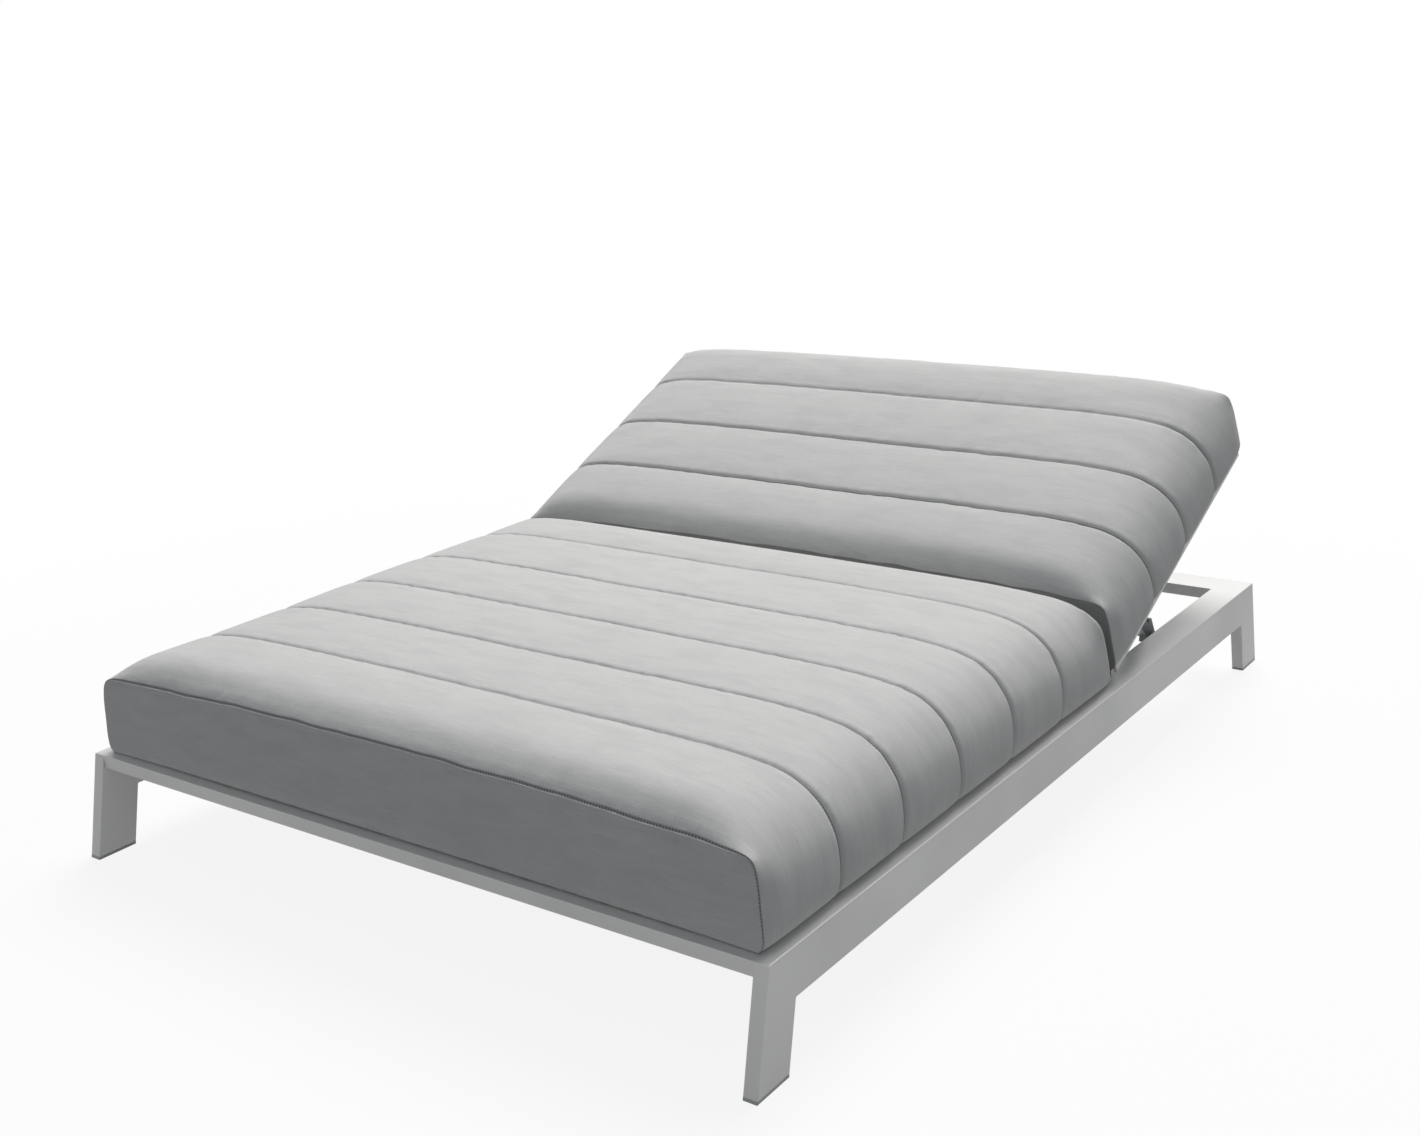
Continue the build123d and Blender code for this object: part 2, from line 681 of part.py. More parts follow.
# Seat cushion: its rear panel leans forward to leave room for the backrest cushion
seat_length = seat_cushion_rear + seat_cushion_front
seat_seams = [0] + [seat_length * share for share in seat_seam_shares] + [seat_length]
with BuildPart() as seat_cushion:
    seat_base = Vector(0, -seat_cushion_front, seat_top)
    seat_leans = (0, seat_rear_lean)
    seat_panels = (end_panel, seat_rear_panel)
    cushion_channels(seat_base, Vector(0, 1, 0), 0, seat_seams, seat_leans, seat_panels, 0)
save(seat_cushion, "seat_cushion")

# Backrest cushion: its lower panel leans with the top towards the head end
back_length = back_cushion_end - back_cushion_start
back_seams = [0] + [back_length * share for share in back_seam_shares] + [back_length]
with BuildPart() as back_cushion:
    back_base = hinge_point + along_back * back_cushion_start + off_back * back_top
    back_leans = (-back_end_lean, 0)
    back_panels = (end_panel, end_panel)
    cushion_channels(
        back_base, along_back, recline_angle, back_seams, back_leans, back_panels, back_crown_drop
    )
save(back_cushion, "back_cushion")
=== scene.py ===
"""Looks of a double chaise lounger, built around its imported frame, in metres."""

import json
import logging
import math
from dataclasses import dataclass
from enum import Enum

import bmesh
import bpy
import numpy as np
from mathutils import Matrix, Vector


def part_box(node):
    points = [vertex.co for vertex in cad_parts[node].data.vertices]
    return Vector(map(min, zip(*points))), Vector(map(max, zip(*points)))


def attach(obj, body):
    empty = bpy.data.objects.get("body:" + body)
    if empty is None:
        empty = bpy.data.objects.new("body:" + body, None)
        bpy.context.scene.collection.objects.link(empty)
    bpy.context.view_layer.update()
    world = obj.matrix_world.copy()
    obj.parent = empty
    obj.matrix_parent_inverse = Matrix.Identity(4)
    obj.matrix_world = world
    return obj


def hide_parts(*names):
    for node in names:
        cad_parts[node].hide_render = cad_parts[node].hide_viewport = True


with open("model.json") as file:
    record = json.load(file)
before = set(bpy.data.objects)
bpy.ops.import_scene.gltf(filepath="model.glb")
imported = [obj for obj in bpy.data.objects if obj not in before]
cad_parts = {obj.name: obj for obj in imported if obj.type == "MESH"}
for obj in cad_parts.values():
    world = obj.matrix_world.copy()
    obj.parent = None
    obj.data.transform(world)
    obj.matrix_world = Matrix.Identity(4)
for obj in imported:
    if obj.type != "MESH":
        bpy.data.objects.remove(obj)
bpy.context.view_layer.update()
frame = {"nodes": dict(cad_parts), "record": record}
LOG = logging.getLogger("lounger")
MM = 0.001
TURN = 2.0 * math.pi
TINY = 1e-9
NO_SEAM_NEAR = 50.0 * MM
WEAVE_UV = "fabric_weave"
SEAM_ATTRIBUTE = "seam_distance"
# Point attribute: share of painted shade, on the cushion ends that face each other.
SHADE_ATTRIBUTE = "end_shade"

Pair = tuple[float, float]
Triple = tuple[float, float, float]
Socket = bpy.types.NodeSocket
Piece = bpy.types.Object


class Slot(Enum):
    """Material slots of the record."""

    COAT = "powder_coat"
    FABRIC = "cushion_fabric"
    PLASTIC = "black_plastic"
    GLIDE = "grey_plastic"
    RUBBER = "rubber"
    STEEL = "stainless_steel"


class Body(Enum):
    """Moving bodies of the lounger."""

    BASE = "base"
    BACK = "backrest"
    PROP = "prop_stay"


class End(Enum):
    """Ends of the lounger, and the way that each faces along it."""

    FOOT = -1
    HEAD = 1


class Run(Enum):
    """Ways that a tube runs, as the index of its axis."""

    ACROSS = 0
    ALONG = 1


class Sharp(Enum):
    """Turn in degrees from which an edge stays sharp."""

    METAL = 28.0
    CLOTH = 80.0


class Wiring:
    """Adds and joins the nodes of one tree."""

    def __init__(self, tree: bpy.types.NodeTree) -> None:
        """Work on a tree."""
        self.tree = tree

    def add(self, kind: str, **settings: object) -> bpy.types.Node:
        """Add one node.

        Args:
            kind: Blender's name for the node type.
            settings: Properties to set on the node.

        Returns:
            The new node.
        """
        node = self.tree.nodes.new(kind)
        for key, value in settings.items():
            setattr(node, key, value)
        return node

    def feed(self, socket: Socket, value: object) -> None:
        """Link a socket to another one, or set its value.

        Args:
            socket: The socket.
            value: Another socket, or a value.
        """
        if isinstance(value, Socket):
            self.tree.links.new(value, socket)
        else:
            socket.default_value = value

    def sums(self, operation: str, first: object, second: object = 0.0) -> Socket:
        """Add one step of arithmetic.

        Args:
            operation: Blender's name of the step.
            first: First number or socket.
            second: Second number or socket.

        Returns:
            The result.
        """
        node = self.add("ShaderNodeMath", operation=operation)
        self.feed(node.inputs[0], first)
        self.feed(node.inputs[1], second)
        return node.outputs[0]

    def times(self, first: object, second: object) -> Socket:
        """Return the product of two numbers or sockets."""
        return self.sums("MULTIPLY", first, second)

    def seen(self) -> Socket:
        """Tell looking from lighting.

        Returns:
            1 for rays from the camera, off gloss or through glass, and 0 for plain light.
        """
        rays = self.add("ShaderNodeLightPath").outputs
        seen = self.sums("MAXIMUM", rays["Is Camera Ray"], rays["Is Glossy Ray"])
        return self.sums("MAXIMUM", seen, rays["Is Transmission Ray"])

    def show(self, share: Socket, light: Socket, look: Socket, output: str) -> None:
        """Mix what lights the scene with what is seen, and put it out.

        Args:
            share: Share of what is seen.
            light: Shader that lights the scene.
            look: Shader that is seen.
            output: Name of the tree's output node.
        """
        mix = self.add("ShaderNodeMixShader")
        for socket, value in zip(mix.inputs, (share, light, look)):
            self.feed(socket, value)
        self.feed(self.tree.nodes[output].inputs["Surface"], mix.outputs[0])


class Painter(Wiring):
    """Wires one new material."""

    def __init__(self, name: str) -> None:
        """Start a material with a plain surface shader.

        Args:
            name: Name of the new material.
        """
        self.material = bpy.data.materials.new(name)
        self.material.use_nodes = True
        super().__init__(self.material.node_tree)
        self.shader = self.tree.nodes["Principled BSDF"]

    def place(self) -> Socket:
        """Return the place on the object, in metres."""
        return self.add("ShaderNodeTexCoord").outputs["Object"]

    def mark(self, name: str) -> Socket:
        """Return a value that the mesh carries."""
        return self.add("ShaderNodeAttribute", attribute_name=name).outputs["Fac"]

    def noise(self, vector: Socket, scale: float | Triple, detail: float = 2.0) -> Socket:
        """Add cloudy noise.

        Args:
            vector: Where the noise is read.
            scale: Waves per unit, the same all ways or one value for each axis.
            detail: Octaves of finer noise.

        Returns:
            The noise, about 0 to 1.
        """
        if isinstance(scale, tuple):
            stretch = self.add("ShaderNodeMapping")
            self.feed(stretch.inputs["Vector"], vector)
            stretch.inputs["Scale"].default_value = scale
            vector, scale = stretch.outputs["Vector"], 1.0
        node = self.add("ShaderNodeTexNoise")
        self.feed(node.inputs["Vector"], vector)
        node.inputs["Scale"].default_value = scale
        node.inputs["Detail"].default_value = detail
        return node.outputs["Fac"]

    def span(self, value: Socket, between: Pair, out: Pair) -> Socket:
        """Map a number from one span to another, held at both ends.

        Args:
            value: The number.
            between: Start and end of its span.
            out: Result at the start and at the end.

        Returns:
            The mapped number.
        """
        node = self.add("ShaderNodeMapRange", interpolation_type="SMOOTHSTEP")
        self.feed(node.inputs[0], value)
        for socket, number in zip(list(node.inputs)[1:5], (*between, *out)):
            socket.default_value = number
        return node.outputs[0]

    def tinted(self, factor: object, first: object, second: object) -> Socket:
        """Mix two colours.

        Args:
            factor: Share of the second colour.
            first: First colour or socket.
            second: Second colour or socket.

        Returns:
            The mixed colour.
        """
        node = self.add("ShaderNodeMix", data_type="RGBA")
        self.feed(node.inputs[0], factor)
        for socket, colour in ((node.inputs[6], first), (node.inputs[7], second)):
            self.feed(socket, (*colour, 1.0) if isinstance(colour, tuple) else colour)
        return node.outputs[2]

    def bump(self, height: Socket, relief: Pair, normal: Socket | None = None) -> Socket:
        """Turn a height into a bumped normal.

        Args:
            height: The height.
            relief: Share of the bump that shows, and the height of 1 in metres.
            normal: Normal to start from.

        Returns:
            The bumped normal.
        """
        node = self.add("ShaderNodeBump")
        node.inputs["Strength"].default_value = relief[0]
        node.inputs["Distance"].default_value = relief[1]
        self.feed(node.inputs["Height"], height)
        if normal is not None:
            self.feed(node.inputs["Normal"], normal)
        return node.outputs["Normal"]

    def finish(
        self, colour: Socket, roughness: Socket, normal: Socket, **plain: float
    ) -> bpy.types.Material:
        """Wire the surface shader.

        Args:
            colour: Base colour.
            roughness: Roughness.
            normal: Bumped normal.
            plain: Other shader inputs that are the same all over, by name with underscores.

        Returns:
            The finished material.
        """
        self.feed(self.shader.inputs["Base Color"], colour)
        self.feed(self.shader.inputs["Roughness"], roughness)
        self.feed(self.shader.inputs["Normal"], normal)
        for key, value in plain.items():
            self.shader.inputs[key.replace("_", " ")].default_value = value
        return self.material


@dataclass(frozen=True)
class PowderCoat:
    """Satin powder paint with a little metal in it: fine orange peel, faint dust, paler edges."""

    name: str = "powder_coat"
    colour: Triple = (0.705, 0.703, 0.697)
    dusty: Triple = (0.635, 0.632, 0.625)
    edge: Triple = (0.73, 0.728, 0.72)
    metal: float = 0.22
    gloss: float = 0.5
    roughness: Pair = (0.34, 0.5)
    peel_scale: float = 650.0
    peel_relief: Pair = (0.22, 0.12 * MM)
    cloud_scale: float = 4.0
    cloud_span: Pair = (0.3, 0.7)
    cloud_relief: Pair = (0.05, 2.0 * MM)
    streak_scale: Triple = (30.0, 2.0, 60.0)
    dust_span: Pair = (0.45, 0.75)
    dust_share: float = 0.5
    worn_span: Pair = (0.52, 0.6)
    worn_share: float = 0.25

    def material(self) -> bpy.types.Material:
        """Mix the paint.

        Returns:
            The paint as a material.
        """
        paint = Painter(self.name)
        place = paint.place()
        cloud = paint.noise(place, self.cloud_scale, detail=4.0)
        fine = paint.noise(place, self.peel_scale, detail=1.0)
        streak = paint.noise(place, self.streak_scale, detail=3.0)
        dirt = paint.times(paint.span(cloud, self.dust_span, (0.0, self.dust_share)), streak)
        bend = paint.add("ShaderNodeNewGeometry").outputs["Pointiness"]
        worn = paint.span(bend, self.worn_span, (0.0, self.worn_share))
        colour = paint.tinted(dirt, self.colour, self.dusty)
        colour = paint.tinted(worn, colour, self.edge)
        roughness = paint.span(cloud, self.cloud_span, self.roughness)
        peel = paint.bump(fine, self.peel_relief)
        normal = paint.bump(cloud, self.cloud_relief, peel)
        return paint.finish(
            colour, roughness, normal, Metallic=self.metal, Specular_IOR_Level=self.gloss
        )


@dataclass(frozen=True)
class WovenCloth:
    """Light grey outdoor cloth: plain weave, slubs along its threads, sheen, stitched seams."""

    name: str = "cushion_fabric"
    colour: Triple = (0.667, 0.665, 0.66)
    dark: Triple = (0.558, 0.557, 0.558)
    pale: Triple = (0.758, 0.756, 0.747)
    shaded: Triple = (0.15, 0.152, 0.157)
    # Near-black colour of the painted shade on the seam lines and lower edges.
    line: Triple = (0.10, 0.10, 0.105)
    roughness: Pair = (0.95, 0.8)
    sheen: float = 0.18
    sheen_spread: float = 0.45
    gloss: float = 0.25
    slub_scale: Triple = (28.0, 480.0, 1.0)
    streak_scale: Triple = (7.0, 110.0, 1.0)
    heather_scale: Triple = (220.0, 1100.0, 1.0)
    mottle_scale: Triple = (9.0, 30.0, 1.0)
    pucker_scale: Triple = (80.0, 16.0, 1.0)
    cloud_scale: float = 3.0
    slub_share: float = 0.4
    streak_share: float = 0.2
    heather_share: float = 0.4
    dark_span: Pair = (0.3, 0.5)
    pale_span: Pair = (0.5, 0.72)
    tone_span: Pair = (0.3, 0.7)
    cloud_span: Pair = (0.35, 0.75)
    cloud_share: float = 0.16
    mottle_span: Pair = (0.42, 0.68)
    mottle_share: float = 0.4
    groove_shade_reach: Pair = (0.5 * MM, 2.6 * MM)
    groove_shade_share: float = 0.85
    thread_pitch: float = 1.1 * MM
    thread_relief: Pair = (0.35, 0.18 * MM)
    slub_relief: Pair = (0.45, 0.9 * MM)
    pucker_reach: Pair = (2.0 * MM, 20.0 * MM)
    pucker_relief: Pair = (0.7, 2.4 * MM)
    stitch_pitch: float = 5.5 * MM
    stitch_span: Pair = (-0.6, 0.1)
    stitch_reach: Pair = (0.4 * MM, 1.4 * MM)
    stitch_share: float = 0.6
    stitch_relief: Pair = (0.6, 0.8 * MM)

    def material(self) -> bpy.types.Material:
        """Weave the cloth.

        Returns:
            The cloth as a material.
        """
        cloth = Painter(self.name)
        uv = cloth.add("ShaderNodeUVMap", uv_map=WEAVE_UV).outputs["UV"]
        slub = cloth.noise(uv, self.slub_scale)
        streak = cloth.noise(uv, self.streak_scale, detail=3.0)
        heather = cloth.noise(uv, self.heather_scale, detail=1.0)
        cloud = cloth.noise(cloth.place(), self.cloud_scale, detail=3.0)
        mottle = cloth.noise(uv, self.mottle_scale, detail=5.0)
        tone = cloth.times(slub, self.slub_share)
        tone = cloth.sums("ADD", tone, cloth.times(streak, self.streak_share))
        tone = cloth.sums("ADD", tone, cloth.times(heather, self.heather_share))
        colour = cloth.tinted(cloth.span(tone, self.dark_span, (0.0, 1.0)), self.dark, self.colour)
        colour = cloth.tinted(cloth.span(tone, self.pale_span, (0.0, 1.0)), colour, self.pale)
        for patches, span, share in (
            (cloud, self.cloud_span, self.cloud_share),
            (mottle, self.mottle_span, self.mottle_share),
        ):
            colour = cloth.tinted(cloth.span(patches, span, (0.0, share)), colour, self.dark)
        # Painted shade: the cushion ends that face each other turn towards a near-black grey, for
        # the shade in the gap between the cushions.
        colour = cloth.tinted(cloth.mark(SHADE_ATTRIBUTE), colour, self.shaded)
        seam = cloth.mark(SEAM_ATTRIBUTE)
        # Painted shade: a narrow dark band on every seam line and lower edge, for the shade in the
        # grooves and where the cushion meets the frame.
        groove = cloth.span(seam, self.groove_shade_reach, (self.groove_shade_share, 0.0))
        colour = cloth.tinted(groove, colour, self.line)

        split = cloth.add("ShaderNodeSeparateXYZ")
        cloth.feed(split.inputs[0], uv)
        across, along = split.outputs["X"], split.outputs["Y"]
        warp, weft, stitch = (
            cloth.sums("SINE", cloth.times(way, TURN / pitch))
            for way, pitch in (
                (across, self.thread_pitch), (along, self.thread_pitch), (across, self.stitch_pitch)
            )
        )
        stitch = cloth.span(stitch, self.stitch_span, (0.0, 1.0))
        stitch = cloth.times(stitch, cloth.span(seam, self.stitch_reach, (1.0, 0.0)))
        colour = cloth.tinted(cloth.times(stitch, self.stitch_share), colour, self.pale)
        pucker = cloth.noise(uv, self.pucker_scale)
        pucker = cloth.times(pucker, cloth.span(seam, self.pucker_reach, (1.0, 0.0)))
        normal = cloth.bump(cloth.times(warp, weft), self.thread_relief)
        normal = cloth.bump(tone, self.slub_relief, normal)
        normal = cloth.bump(pucker, self.pucker_relief, normal)
        normal = cloth.bump(stitch, self.stitch_relief, normal)
        return cloth.finish(
            colour, cloth.span(tone, self.tone_span, self.roughness), normal,
            Sheen_Weight=self.sheen, Sheen_Roughness=self.sheen_spread,
            Specular_IOR_Level=self.gloss,
        )


@dataclass(frozen=True)
class MouldedPlastic:
    """Fine-textured moulded plastic or rubber."""

    name: str
    colour: Triple
    scuffed: Triple
    roughness: float
    rougher: float = 0.18
    grain_scale: float = 1400.0
    grain_relief: Pair = (0.3, 0.15 * MM)
    scuff_scale: float = 45.0
    scuff_span: Pair = (0.5, 0.72)
    scuff_share: float = 0.6
    rough_span: Pair = (0.35, 0.7)

    def material(self) -> bpy.types.Material:
        """Mould the plastic.

        Returns:
            The plastic as a material.
        """
        resin = Painter(self.name)
        place = resin.place()
        scuff = resin.noise(place, self.scuff_scale, detail=5.0)
        scuffs = resin.span(scuff, self.scuff_span, (0.0, self.scuff_share))
        colour = resin.tinted(scuffs, self.colour, self.scuffed)
        ends = (self.roughness, self.roughness + self.rougher)
        normal = resin.bump(resin.noise(place, self.grain_scale), self.grain_relief)
        return resin.finish(colour, resin.span(scuff, self.rough_span, ends), normal)


@dataclass(frozen=True)
class BrushedSteel:
    """Stainless steel with fine brushing across the lounger."""

    name: str = "stainless_steel"
    colour: Triple = (0.42, 0.42, 0.415)
    stained: Triple = (0.33, 0.325, 0.31)
    roughness: Pair = (0.26, 0.44)
    brush_scale: Triple = (40.0, 2200.0, 2200.0)
    brush_span: Pair = (0.3, 0.7)
    brush_relief: Pair = (0.2, 0.08 * MM)
    stain_scale: float = 60.0
    stain_span: Pair = (0.5, 0.75)
    stain_share: float = 0.7

    def material(self) -> bpy.types.Material:
        """Brush the steel.

        Returns:
            The steel as a material.
        """
        steel = Painter(self.name)
        place = steel.place()
        brushed = steel.noise(place, self.brush_scale)
        stain = steel.noise(place, self.stain_scale, detail=4.0)
        stains = steel.span(stain, self.stain_span, (0.0, self.stain_share))
        colour = steel.tinted(stains, self.colour, self.stained)
        roughness = steel.span(brushed, self.brush_span, self.roughness)
        normal = steel.bump(brushed, self.brush_relief)
        return steel.finish(colour, roughness, normal, Metallic=1.0)


class Finishes:
    """Every material of the lounger, made once."""

    # Pieces whose names start so take the painted-shade copy of the powder coat.
    shaded_start: str = "prop_"

    def __init__(self) -> None:
        """Make the materials."""
        # A dimmer copy of the powder coat: painted shade for the prop, which lies in the backrest's
        # shade.
        self.shaded_coat = PowderCoat(
            "dark_powder_coat", colour=(0.30, 0.325, 0.325), dusty=(0.25, 0.26, 0.26),
            edge=(0.36, 0.375, 0.375),
        ).material()
        self.by_slot = {
            Slot(finish.name): finish.material()
            for finish in (
                PowderCoat(),
                WovenCloth(),
                MouldedPlastic("black_plastic", (0.13, 0.135, 0.14), (0.24, 0.24, 0.24), 0.5),
                MouldedPlastic("grey_plastic", (0.66, 0.67, 0.67), (0.54, 0.54, 0.535), 0.5),
                MouldedPlastic("rubber", (0.03, 0.03, 0.031), (0.09, 0.09, 0.09), 0.7),
                BrushedSteel(),
            )
        }

    def dress(self, piece: Piece, slot: Slot) -> None:
        """Give a piece one finish all over. The prop's powder-coated parts take a dimmer copy of
        the coat: painted shade for the shade under the backrest.

        Args:
            piece: The mesh to dress.
            slot: Its material slot in the record.
        """
        # Painted shade: the prop's powder-coated parts take the dimmer copy of the coat.
        dark = slot is Slot.COAT and piece.name.startswith(self.shaded_start)
        piece.data.materials.clear()
        piece.data.materials.append(self.shaded_coat if dark else self.by_slot[slot])
        for face in piece.data.polygons:
            face.material_index = 0


def shade(mesh: bpy.types.Mesh, limit: Sharp) -> None:
    """Shade a mesh smooth, apart from its sharp edges.

    Args:
        mesh: The mesh.
        limit: From where its edges stay sharp.
    """
    mesh.polygons.foreach_set("use_smooth", [True] * len(mesh.polygons))
    mesh.set_sharp_from_angle(angle=math.radians(limit.value))


def publish(piece: Piece, body: Body, nodes: tuple[str, ...]) -> None:
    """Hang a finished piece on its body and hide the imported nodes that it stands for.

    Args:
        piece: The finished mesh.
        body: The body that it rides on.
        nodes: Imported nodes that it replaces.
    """
    bpy.context.scene.collection.objects.link(piece)
    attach(piece, body.value)
    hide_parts(*nodes)
    LOG.info("%s: %d faces on %s", piece.name, len(piece.data.polygons), body.value)


def rounded(
    form: bmesh.types.BMesh, edges: list[bmesh.types.BMEdge], radius: float, mesh: bpy.types.Mesh
) -> Piece:
    """Round edges of a metal form and make it a piece whose flat faces are evenly lit.

    Args:
        form: The form, which is used up.
        edges: Its edges to round.
        radius: Radius of their rounding.
        mesh: Mesh that takes the form and names the piece.

    Returns:
        The new piece.
    """
    bmesh.ops.bevel(
        form, geom=edges, offset=radius, segments=3, profile=0.5, affect="EDGES",
        clamp_overlap=True,
    )
    form.to_mesh(mesh)
    form.free()
    shade(mesh, Sharp.METAL)
    piece = bpy.data.objects.new(mesh.name, mesh)
    piece.modifiers.new("flat_faces", "WEIGHTED_NORMAL").keep_sharp = True
    return piece


@dataclass
class EasedTube:
    """A metal piece with rounded edges. A welded tube, given its run, keeps square ends."""

    node: str
    body: Body
    slot: Slot = Slot.COAT
    radius: float = 1.4 * MM
    run: Run | None = None
    end_margin: float = 0.4 * MM
    weld_reach: float = 0.01 * MM
    flat_deg: float = 0.6
    sharp_deg: float = 40.0

    def build(self, finishes: Finishes) -> None:
        """Copy the node, round its edges and hang it.

        Args:
            finishes: The lounger's materials.
        """
        mesh = frame["nodes"][self.node].data.copy()
        mesh.name = f"{self.node}_eased"
        form = bmesh.new()
        form.from_mesh(mesh)
        bmesh.ops.remove_doubles(form, verts=form.verts[:], dist=self.weld_reach)
        bmesh.ops.dissolve_limit(
            form, angle_limit=math.radians(self.flat_deg), verts=form.verts[:],
            edges=form.edges[:],
        )
        edges = [e for e in form.edges if self._rounds(e, form)]
        piece = rounded(form, edges, self.radius, mesh)
        finishes.dress(piece, self.slot)
        publish(piece, self.body, (self.node,))

    def _rounds(self, edge: bmesh.types.BMEdge, form: bmesh.types.BMesh) -> bool:
        """Say whether an edge is a sharp one away from the welded ends.

        Args:
            edge: The edge.
            form: The mesh that it is in.

        Returns:
            True where the edge is rounded.
        """
        if len(edge.link_faces) != 2 or edge.calc_face_angle(0.0) < math.radians(self.sharp_deg):
            return False
        if self.run is None:
            return True
        places = [v.co[self.run.value] for v in form.verts]
        low, high = min(places) + self.end_margin, max(places) - self.end_margin
        ends = [v.co[self.run.value] for v in edge.verts]
        return not (max(ends) < low or min(ends) > high)


@dataclass
class WeldedSide:
    """One side of the frame: rail and raked legs, welded and ground flush at their mitres."""

    name: str
    rail_node: str
    leg_nodes: tuple[str, str]
    radius: float = 1.6 * MM
    margin: float = 0.5 * MM

    def build(self, finishes: Finishes) -> None:
        """Build the side from the boxes of its rail and legs.

        Args:
            finishes: The lounger's materials.
        """
        rail_low, rail_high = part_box(self.rail_node)
        front_low, rear_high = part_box(self.leg_nodes[0])[0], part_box(self.leg_nodes[1])[1]
        floor, under, over = front_low.z, rail_low.z, rail_high.z
        outline = [
            (rail_low.y, over),
            (front_low.y, floor),
            (self._inner_y(End.FOOT, floor), floor),
            (self._inner_y(End.FOOT, under), under),
            (self._inner_y(End.HEAD, under), under),
            (self._inner_y(End.HEAD, floor), floor),
            (rear_high.y, floor),
            (rail_high.y, over),
        ]
        form = bmesh.new()
        rings = [[form.verts.new((x, *at)) for at in outline] for x in (rail_low.x, rail_high.x)]
        form.faces.new(rings[0])
        form.faces.new(rings[1][::-1])
        for i in range(len(outline)):
            j = (i + 1) % len(outline)
            form.faces.new((rings[0][j], rings[0][i], rings[1][i], rings[1][j]))
        bmesh.ops.recalc_face_normals(form, faces=form.faces[:])
        middle = abs(rail_low.x + rail_high.x) / 2
        low, top = floor + self.radius, over - self.radius
        edges = [e for e in form.edges if self._shows(e, low, top, middle)]
        piece = rounded(form, edges, self.radius, bpy.data.meshes.new(self.name))
        finishes.dress(piece, Slot.COAT)
        publish(piece, Body.BASE, (self.rail_node, *self.leg_nodes))

    @staticmethod
    def _shows(edge: bmesh.types.BMEdge, low: float, top: float, middle: float) -> bool:
        """Say whether an edge is on the outside of the weldment.

        Args:
            edge: The edge.
            low: Height just over the feet.
            top: Height just under the top face.
            middle: Distance of the rail's middle from the middle of the lounger.

        Returns:
            False at the feet, and at the inner top edge, which the end rails meet flush.
        """
        foot = all(v.co.z < low for v in edge.verts)
        flush = all(v.co.z > top and abs(v.co.x) < middle for v in edge.verts)
        return not (foot or flush)

    def _inner_y(self, end: End, height: float) -> float:
        """Find a leg's inner face at a height.

        Args:
            end: The end of the lounger that the leg is at.
            height: The height.

        Returns:
            The Y of the inner face.
        """
        inwards = -end.value
        points = [v.co for v in frame["nodes"][self.leg_nodes[end is End.HEAD]].data.vertices]
        return inwards * max(p.y * inwards for p in points if abs(p.z - height) < self.margin)


@dataclass
class MetalFrame:
    """Welded ring, ledges and seat platform of the lounger."""

    slats: int = 7
    ring_nodes: tuple[str, ...] = ("front_rail", "rear_rail", "hinge_bearer")
    long_nodes: tuple[str, ...] = ("left_ledge_rail", "right_ledge_rail", "centre_bearer")
    glide_radius: float = 1.0 * MM

    def build(self, finishes: Finishes) -> None:
        """Build both welded sides and ease the tubes between them.

        Args:
            finishes: The lounger's materials.
        """
        for side in ("left", "right"):
            legs = (f"front_{side}_leg", f"rear_{side}_leg")
            WeldedSide(f"{side}_welded_side", f"{side}_side_rail", legs).build(finishes)
        for node in (*self.ring_nodes, *(f"seat_slat_{i + 1}" for i in range(self.slats))):
            EasedTube(node, Body.BASE, run=Run.ACROSS).build(finishes)
        for node in self.long_nodes:
            EasedTube(node, Body.BASE, run=Run.ALONG).build(finishes)
        for end in ("front", "rear"):
            for side in ("left", "right"):
                glide = f"{end}_{side}_glide"
                EasedTube(glide, Body.BASE, Slot.GLIDE, self.glide_radius).build(finishes)


@dataclass
class BackFrame:
    """Reclining frame of the backrest."""

    slats: int = 4
    tube_radius: float = 1.2 * MM
    lug_radius: float = 1.0 * MM
    cap_radius: float = 0.7 * MM

    def build(self, finishes: Finishes) -> None:
        """Ease the tubes of the backrest and its end caps.

        Args:
            finishes: The lounger's materials.
        """
        for side in ("left", "right"):
            rail = EasedTube(f"back_{side}_rail", Body.BACK, radius=self.tube_radius)
            lug = EasedTube(f"prop_lug_{side}", Body.BACK, radius=self.lug_radius)
            rail.build(finishes)
            lug.build(finishes)
        slats = (f"back_slat_{i + 1}" for i in range(self.slats))
        for node in ("back_lower_rail", "back_upper_rail", *slats):
            tube = EasedTube(node, Body.BACK, radius=self.tube_radius, run=Run.ACROSS)
            tube.build(finishes)
        EasedTube("back_end_caps", Body.BACK, Slot.PLASTIC, self.cap_radius).build(finishes)


@dataclass
class PropStay:
    """Two arms that prop the backrest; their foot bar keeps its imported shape."""

    tube_radius: float = 1.2 * MM

    def build(self, finishes: Finishes) -> None:
        """Ease the arms.

        Args:
            finishes: The lounger's materials.
        """
        for side in ("left", "right"):
            arm = EasedTube(f"prop_arm_{side}", Body.PROP, radius=self.tube_radius)
            arm.build(finishes)


@dataclass
class Hardware:
    """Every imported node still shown: it keeps its shape and takes its finish from the record."""

    def build(self, finishes: Finishes) -> None:
        """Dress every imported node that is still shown.

        Args:
            finishes: The lounger's materials.
        """
        slots = {s["node"]: s["material_slot"] for s in frame["record"]["subparts"]}
        for name, piece in sorted(frame["nodes"].items()):
            if piece.hide_render:
                continue
            finishes.dress(piece, Slot(slots[name]))
            shade(piece.data, Sharp.METAL)
            LOG.info("%s: kept, dressed as %s", name, slots[name])


